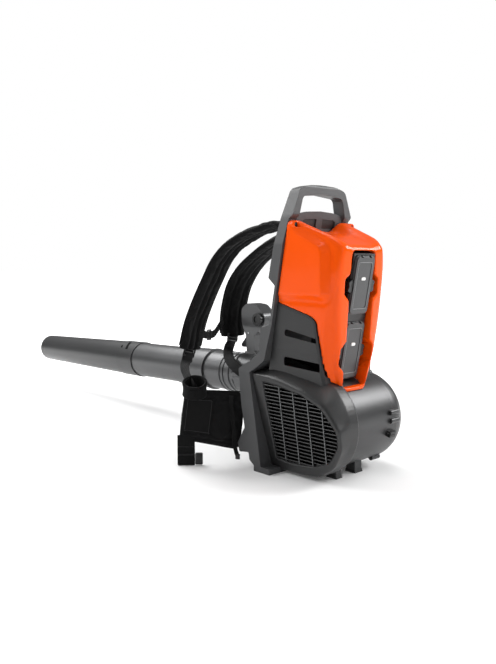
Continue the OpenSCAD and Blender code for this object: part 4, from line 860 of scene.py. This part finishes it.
# the narrow strap end that hangs beside the frame
tail = [(-0.085, -0.1215, 0.152), (-0.0865, -0.1205, 0.128), (-0.082, -0.1195, 0.1), (-0.0765, -0.121, 0.075),
        (-0.0745, -0.1225, 0.052), (-0.071, -0.1215, 0.036), (-0.0685, -0.1195, 0.026)]
addWeb("strapEnd", tail, [(0.3, 0.2, 0), (0.5, 0.4, 0), (0.35, 0.6, 0)], 0.009, 0.0019)
knot = box("strapEndTip", (-0.005, -0.0022, -0.006), (0.005, 0.0022, 0.006), 0.0016, 3,
           Matrix.Translation((-0.068, -0.1192, 0.0235)) @ Matrix.Rotation(0.5, 4, "Z"))
dress(knot, "blackPlastic", "frame")
print("webbing, ring, belt and buckles made")


bellowsSetup = {"axis": (0.095, 0.161), "rear": -0.04, "front": -0.172, "folds": 9, "low": 0.0532, "high": 0.0598,
                "cuff": 0.016, "lip": 0.004, "inset": 0.002, "wall": 0.0016}


def addBellows(s):
    # a wavy wall, spun round its axis
    y, z = s["axis"]
    a, b = s["rear"] - s["inset"], s["front"] + s["inset"]
    pitch = (a - b) / s["folds"]
    outer = [(a + s["cuff"], s["low"]), (a + s["lip"], s["low"])]
    for k in range(s["folds"]):
        for j in range(8):
            t = j / 8
            wave = 0.5 - 0.5 * math.cos(math.tau * t)
            outer.append((a - pitch * (k + t), s["low"] + (s["high"] - s["low"]) * wave ** 0.8))
    outer += [(b, s["low"]), (b - s["lip"], s["low"]), (b - s["cuff"], s["low"])]
    ring = outer + [(x, r - s["wall"]) for x, r in reversed(outer)]
    count = len(ring)
    obj = meshObject("bellowsFolds", [(x, y, z + r) for x, r in ring],
                     [(i, (i + 1) % count) for i in range(count)], [])
    activate(obj)
    bpy.ops.object.mode_set(mode="EDIT")
    bpy.ops.mesh.select_all(action="SELECT")
    bpy.ops.mesh.spin(steps=72, angle=math.tau, center=(0, y, z), axis=(1, 0, 0))
    bpy.ops.mesh.select_all(action="SELECT")
    bpy.ops.mesh.remove_doubles(threshold=0.00002)
    bpy.ops.mesh.normals_make_consistent(inside=False)
    bpy.ops.object.mode_set(mode="OBJECT")
    smooth(obj, 50)
    obj.data.materials.append(finishes["foldRubber"])
    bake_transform(obj)
    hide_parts("bellows")


addBellows(bellowsSetup)
print("bellows made")


# dark plates behind the two openings under the handle, painted shade for the dark inside behind them, with bars in
# front of them
for k, (y0, y1) in enumerate(((-0.0495, -0.0095), (0.0095, 0.0495))):
    shade = box("ventPaintedShade" + "AB"[k], (-0.0436, y0, 0.5032), (-0.0424, y1, 0.5222), 0, 2, lean)
    dress(shade, "blackPlastic", "frame")
    bars = [box("bar", (-0.0456, y0 + 0.0004, z - 0.0008), (-0.0434, y1 - 0.0004, z + 0.0008), 0.0003, 2, lean)
            for z in ((0.5072, 0.5125) if k == 0 else (0.510,))]
    dress(joined(bars, "ventBars" + "AB"[k]), "frameGrey" if k else "blackPlastic", "frame")

# the intake's face is a tilted plane, and the grille's parts are given in it
faceAngle = 8.5
facePlace = Matrix.Translation((0, -0.108, 0.207)) @ Matrix.Rotation(math.radians(faceAngle), 4, "X") \
    @ Matrix.Translation((0, 0, -0.207))
dividerEnds = {0.038: (0.027, 0.1845), 0.075: (0.0285, 0.1785), 0.112: (0.031, 0.1675), 0.148: (0.043, 0.15)}
ribs = [box("rib", (x - 0.0007, 0.0, low), (x + 0.0007, 0.0009, high), 0.0003, 2, facePlace)
        for x, (low, high) in dividerEnds.items()]
dress(joined(ribs, "grilleDividers"), "ribGrey", "frame")
screenLine = [(0.014, 0.031), (-0.003, 0.184), (0.03, 0.181), (0.07, 0.176), (0.1, 0.166), (0.138, 0.147),
              (0.166, 0.12), (0.173, 0.1), (0.172, 0.082), (0.15, 0.052), (0.11, 0.034), (0.055, 0.029)]
verts = [facePlace @ Vector((x, 0.0104, z)) for x, z in screenLine]
screen = fromData("dustScreen", verts, [tuple(range(len(verts)))])
finishWith(screen, "SOLIDIFY", thickness=0.0008, offset=0)
dress(screen, "meshCloth", "frame")
print("vents and grille made")


# the two moulded covers have no flat facets: a cover's form is a field of distances, in millimetres, and its skin is
# where that field is zero
coverSetup = {
    "cell": 1.9, "quickCell": 1.2, "room": ((4, 184), (-100, 100), (150, 526)), "wall": 4.3, "seam": -39.0,
    "heights": (150, 168, 192, 222, 262, 305, 352, 400, 420, 452, 474, 498, 530),
    "front": (92, 92, 92, 92, 92, 92, 92, 92, 92, 91.5, 91, 90.5, 90),
    "behind": (60, 64, 68, 72, 75.5, 78, 79, 78.5, 78, 77, 75, 72, 68),
    "rear": (42, 45, 53, 61, 69, 74, 77, 78, 77.5, 74.5, 69, 64, 59),
    "roof": ((-60, 520), (40, 519), (56, 517.5), (72, 510.5), (132, 487.5), (152, 479), (172, 468), (200, 452)),
    "panel": ((-40, 371, 0), (112, 370, 6), (137, 367, 8), (134, 462, 20), (74, 492, 10), (60, 503, 6),
              (40, 530, 0), (-40, 530, 0)),
    "split": ((-60, 100, 0), (-60, 352, 0), (23.2, 350, 0), (97, 327, 8), (111, 319, 10), (120, 260, 0),
              (127, 207, 0), (135, 168, 0), (135, 100, 0)),
    "opening": ((36, 479, 10), (37.5, 434, 4), (51, 424.5, 4), (51, 395.5, 4), (37, 383.5, 4), (36.5, 302.5, 4),
                (50.5, 289.5, 4), (50.5, 257.5, 4), (38, 243.5, 4), (35, 210.5, 6)),
}
gridStep = 0.5


def roundedLine(points, steps=6):
    # a closed outline whose corners, given as (x, y, radius), are arcs
    out = []
    n = len(points)
    for i in range(n):
        a, b, c = (Vector(points[(i + k) % n][:2]) for k in (-1, 0, 1))
        r = points[i][2]
        if r <= 0:
            out.append(b)
            continue
        u, v = (a - b).normalized(), (c - b).normalized()
        half = math.acos(max(-1, min(1, u.dot(v)))) / 2
        reach = r / math.tan(half)
        centre = b + (u + v).normalized() * r / math.sin(half)
        p, q = b + u * reach - centre, b + v * reach - centre
        turn = p.angle_signed(q)
        for k in range(steps + 1):
            angle = -turn * k / steps
            out.append(centre + Vector((p.x * math.cos(angle) - p.y * math.sin(angle),
                                        p.x * math.sin(angle) + p.y * math.cos(angle))))
    return out


def distanceTo(line, px, py):
    # distance to a closed outline, below zero inside it
    best = np.full(px.shape, 1e9)
    inside = np.zeros(px.shape, bool)
    for a, b in zip(line, line[1:] + line[:1]):
        ex, ey = b.x - a.x, b.y - a.y
        wx, wy = px - a.x, py - a.y
        t = np.clip((wx * ex + wy * ey) / max(1e-9, ex * ex + ey * ey), 0, 1)
        best = np.minimum(best, (wx - ex * t) ** 2 + (wy - ey * t) ** 2)
        crosses = ((a.y > py) != (b.y > py)) & (px < ex * (py - a.y) / (ey if abs(ey) > 1e-9 else 1e-9) + a.x)
        inside ^= crosses
    return np.where(inside, -1, 1) * np.sqrt(best)


def gridOf(line, start, end):
    # the distances to an outline on a fine grid
    axes = [np.arange(a, b + gridStep, gridStep) for a, b in zip(start, end)]
    return distanceTo(roundedLine(line), *np.meshgrid(*axes, indexing="ij"))


def sampled(grid, start, a, b):
    # a grid's values between its points
    i, j = (np.clip((v - v0) / gridStep, 0, size - 1.001) for v, v0, size in zip((a, b), start, grid.shape))
    i0, j0 = i.astype(int), j.astype(int)
    fi, fj = i - i0, j - j0
    return (grid[i0, j0] * (1 - fi) * (1 - fj) + grid[i0 + 1, j0] * fi * (1 - fj)
            + grid[i0, j0 + 1] * (1 - fi) * fj + grid[i0 + 1, j0 + 1] * fi * fj)


def evened(fine, at, values, width):
    # a line through the given values, smoothed over the given number of its points
    kernel = np.hanning(width)
    line = np.pad(np.interp(fine, at, values), width // 2, mode="edge")
    return np.convolve(line, kernel / kernel.sum(), mode="valid")


def awayFrom(x, z, middle):
    return np.sqrt((x - middle[0]) ** 2 + (z - middle[1]) ** 2)


def roundMax(a, b, k):
    return np.maximum(a, b) + np.maximum(k - np.abs(a - b), 0) ** 2 / (4 * k)


def eased(t):
    t = np.clip(t, 0, 1)
    return t * t * (3 - 2 * t)


def trueDistance(field, cell):
    # evens out a field whose slope isn't one, so that a wall made from it keeps its thickness
    slope = np.sqrt(sum(g ** 2 for g in np.gradient(field, cell)))
    return field / np.maximum(slope, 1)


def coverField(s, x, y, z):
    c, sn = math.cos(math.radians(leanAngle)), math.sin(math.radians(leanAngle))
    lx, lz = x * c - z * sn, x * sn + z * c
    flatX, flatZ = x[:, 0, :], z[:, 0, :]

    fineZ = np.arange(100, 560, 2.0)
    seamX = (s["seam"] + flatZ * sn) / c
    rearX = 137.6 + 0.0691 * flatZ
    # half its width at the front edge, where its flank bends in, and at the rear
    front, behind, rear = (np.interp(flatZ, fineZ, evened(fineZ, s["heights"], s[key], 19))
                           for key in ("front", "behind", "rear"))
    bend = np.minimum(141, rearX - 26)
    t = (flatX - seamX) / (bend - seamX)
    u = (flatX - bend) / np.maximum(rearX - 18 - bend, 8)
    base = np.where(t < 1, front + (behind - front) * np.clip(t, 0, 1) ** 1.25,
                    behind + (rear - behind) * np.clip(u, 0, 1.6))
    proud = front + 4 - (front + 4 - 91.5) * np.clip(t, 0, 1.1) ** 1.1
    proud = np.minimum(proud, base + 14)
    panel = distanceTo(roundedLine(s["panel"]), flatX, flatZ)
    drop = np.clip((panel + 1.5) / 12, 0, 1)
    width = base + (proud - base) * (1 - drop) ** 1.25 - 1.2 * np.exp(-((panel - 12) / 6) ** 2)
    side = np.abs(y) - width[:, None, :]
    fineX = np.arange(-60, 204, 2.0)
    roof = np.interp(x, fineX, evened(fineX, *zip(*s["roof"]), 11))
    depth = np.interp(x, (40, 56, 100, 150, 168), (23, 20, 12, 8, 6))
    shape = 1 - eased((np.abs(y) - 26) / 42)
    top = (z - (roof - depth * shape)) * 0.95
    rearSide = (x - rearX[:, None, :]) + np.abs(y) ** 2 * 0.0006
    outer = trueDistance(roundMax(roundMax(side, rearSide, 20), top, 13), s["cell"])
    shell = np.maximum(outer, -(outer + s["wall"]))
    opening = list(s["opening"]) + [(-p[0], p[1], p[2]) for p in reversed(s["opening"])]
    start = (-100, 150)
    window = sampled(gridOf(opening, start, (100, 560)), start, y, lz)
    region = distanceTo(roundedLine(s["split"]), flatX, flatZ)[:, None, :]
    form = np.maximum(np.maximum(shell, s["seam"] - lx), 4.6 - region)
    collar = np.maximum(np.maximum(outer, 70 - lx), window - 2.5)
    form = np.minimum(form, collar)
    # the screw bosses at its upper corners, then its window, the drum and the intake
    bossR = awayFrom(np.abs(y), z, (86, 508))
    boss = np.maximum(np.maximum(bossR - 8, x - 68), (s["seam"] + 1.5) - lx)
    form = roundMax(-form, -boss, 3) * -1
    form = np.maximum(form, -np.maximum(bossR - 5, 63 - x))
    form = np.maximum(form, -(bossR - 2.6))
    form = roundMax(form, -np.maximum(window, 69 - lx), 1.6)
    form = np.maximum(form, 95.7 - awayFrom(x, z, (85, 108)))
    return np.maximum(form, -np.maximum(awayFrom(x, z, (85, 110)) - 101.4, y + 30.6))


def skinOf(name, field, origin, cell):
    # a net of quads with a point in each cell that the field's zero passes through
    inside = field < 0
    corners = [(i, j, k) for i in (0, 1) for j in (0, 1) for k in (0, 1)]
    n = [d - 1 for d in field.shape]

    def part(a, c):
        return a[c[0]:c[0] + n[0], c[1]:c[1] + n[1], c[2]:c[2] + n[2]]

    total = sum(part(inside, c).astype(np.int8) for c in corners)
    active = (total > 0) & (total < 8)
    where = np.argwhere(active)
    number = np.full(active.shape, -1)
    number[active] = np.arange(len(where))
    place, hits = np.zeros((len(where), 3)), np.zeros(len(where))
    for a in corners:
        for axis in range(3):
            if a[axis]:
                continue
            b = tuple(v + (1 if d == axis else 0) for d, v in enumerate(a))
            fa, fb = part(field, a)[active], part(field, b)[active]
            cut = (fa < 0) != (fb < 0)
            t = np.where(cut, fa / np.where(cut, fa - fb, 1), 0)
            point = np.array(a, float)[None, :] + np.eye(3)[axis][None, :] * t[:, None]
            place[cut] += point[cut]
            hits[cut] += 1
    verts = (where + place / hits[:, None]) * cell + np.array(origin)
    quads = []
    for axis in range(3):
        u, v = (axis + 1) % 3, (axis + 2) % 3
        low, high = [slice(1, -1)] * 3, [slice(1, -1)] * 3
        low[axis], high[axis] = slice(0, -1), slice(1, None)
        a, b = inside[tuple(low)], inside[tuple(high)]
        starts = a[a != b]
        base = np.argwhere(a != b)
        base[:, [u, v]] += 1
        cells = []
        for du, dv in ((-1, -1), (0, -1), (0, 0), (-1, 0)):
            at = base.copy()
            at[:, u] += du
            at[:, v] += dv
            cells.append(number[at[:, 0], at[:, 1], at[:, 2]])
        q = np.stack(cells, 1)
        q[~starts] = q[~starts][:, ::-1]
        quads.append(q[(q >= 0).all(1)])
    return meshObject(name, (verts * mm).tolist(), [], np.concatenate(quads).tolist())


def moulding(name, field, s):
    cell = s["cell"] * 1
    axes = [np.arange(a, b, cell) for a, b in s["room"]]
    x, y, z = np.meshgrid(*axes, indexing="ij")
    cover = skinOf(name, field({**s, "cell": cell}, x, y, z), [a for a, b in s["room"]], cell)
    finishWith(cover, "SMOOTH", factor=0.5, iterations=3)
    return smooth(cover, 60)


cover = moulding("batteryCover", coverField, coverSetup)
dress(cover, "shellOrange", "frame")
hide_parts("battery_cover")
print("battery cover made")


# the intake cover: its tilted face, the grille's hole in it and the rim where it closes on the drum
intakeSetup = {
    "cell": 1.8, "quickCell": 1.25, "room": ((-46, 192), (-113, -27), (6, 240)), "wall": 3.8,
    "face": ((-18, 3, 8), (-39, 206, 5), (30, 199, 30), (100, 184, 60), (152, 161, 40), (188, 115, 26),
             (189, 76, 30), (165, 34, 40), (122, 9, 30), (64, 3.5, 40)),
    "grille": ((11, 27, 8), (-8, 190, 4), (30, 187, 30), (98, 175, 60), (146, 154, 40), (180, 110, 26),
               (179, 80, 26), (156, 46, 30), (112, 29, 30), (55, 24, 40)),
    "rim": ((-18, 4, 0), (-39, 207, 4), (-16, 221, 6), (6, 233, 6), (48, 226, 14)),
    "rimAt": (85.5, 108, 103),
}


def intakeField(s, x, y, z):
    c, sn = math.cos(math.radians(faceAngle)), math.sin(math.radians(faceAngle))
    deep = (y + 108) * c + (z - 207) * sn
    up = -(y + 108) * sn + (z - 207) * c + 207
    cx, cz, r = s["rimAt"]
    turns = [math.radians(a) for a in range(80, -101, -5)]
    arc = [(cx + r * math.cos(a), cz + r * math.sin(a), 0) for a in turns]
    start = (-60, -10)
    face, rim, hole = (sampled(gridOf(line, start, (210, 260)), start, x, height)
                       for line, height in ((s["face"], up), (list(s["rim"]) + arc, z), (s["grille"], up)))
    whole = np.maximum((-60 - y) + deep, 4)
    t = np.clip(deep / whole, 0, 1) ** 0.85
    flank = face * (1 - t) + rim * t
    outer = np.maximum(roundMax(flank, -deep, 5), y + 33.9)
    inner = np.maximum(flank, -deep) + s["wall"]
    form = np.maximum(trueDistance(outer, s["cell"]), -trueDistance(inner, s["cell"]))
    form = roundMax(form, -np.maximum(hole, deep - 6), 1.2)
    return np.maximum(form, 92.2 - awayFrom(x, z, (85, 108)) - np.where(y < -40, 200, 0))


cover = moulding("intakeCover", intakeField, intakeSetup)
dress(cover, "intakeGrey", "frame")
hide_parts("intake_cover")
print("intake cover made")


# a paler line round each battery's sunk label panel
corner = 0.0045
corners = ((0.0165, 0.0405), (-0.0165, 0.0405), (-0.0165, -0.0425), (0.0165, -0.0425))
for name, body, middle in (("batteryUpperLine", "battery_upper", 0.412),
                           ("batteryLowerLine", "battery_lower", 0.28)):
    around = []
    for quarter, (cy, cz) in enumerate(corners):
        for step in range(5):
            a = math.radians(90 * quarter + 22.5 * step)
            around.append(leaning(0.0936, cy + corner * math.cos(a), middle + cz + corner * math.sin(a)))
    dress(rope(name, around + around[:2], 0.0007, sides=6), "ribGrey", body)

# the bayonet's slot and its mark on the nozzle: thin matte near-black patches on the tube's surface, painted shade
# standing in for the slot's recess, and the mark takes the same dark finish
tubePlace = Matrix.Translation((-0.118, 0.095, 0.161)) @ Matrix.Rotation(math.radians(-1.4), 4, "Y") \
    @ Matrix.Rotation(math.radians(38), 4, "X")


def bentPatch(name, corners, radius=0.05155, thick=0.0015, steps=6):
    # a thin four-cornered piece bent round the tube; each corner is a place along it and a turn in degrees
    n = steps + 1
    verts, faces = [], []
    for layer in (radius, radius - thick):
        for i in range(n):
            for j in range(n):
                u, v = i / steps, j / steps
                along, turn = ((1 - u) * ((1 - v) * corners[0][k] + v * corners[1][k])
                               + u * ((1 - v) * corners[3][k] + v * corners[2][k]) for k in (0, 1))
                turn = math.radians(turn)
                verts.append(tubePlace @ Vector((along, layer * math.sin(turn), layer * math.cos(turn))))

    def at(layer, i, j):
        return (layer * n + i) * n + j

    for i in range(steps):
        for layer in (0, 1):
            faces += [[at(layer, i, j), at(layer, i + 1, j), at(layer, i + 1, j + 1), at(layer, i, j + 1)]
                      for j in range(steps)]
        for side in (0, steps):
            faces.append([at(0, i, side), at(1, i, side), at(1, i + 1, side), at(0, i + 1, side)])
            faces.append([at(0, side, i), at(1, side, i), at(1, side, i + 1), at(0, side, i + 1)])
    return smooth(fromData(name, verts, faces), 40)


for name, corners in (("bayonetSlot", ((-0.638, -13.4), (-0.6265, -13.3), (-0.64, 20), (-0.653, 22))),
                      ("bayonetMark", ((-0.6664, -8.6), (-0.6575, -10), (-0.6625, 0), (-0.6691, 1.8)))):
    dress(bentPatch(name, corners), "slotPaintedShade", "nozzle")
print("battery lines and bayonet made")

print("done")
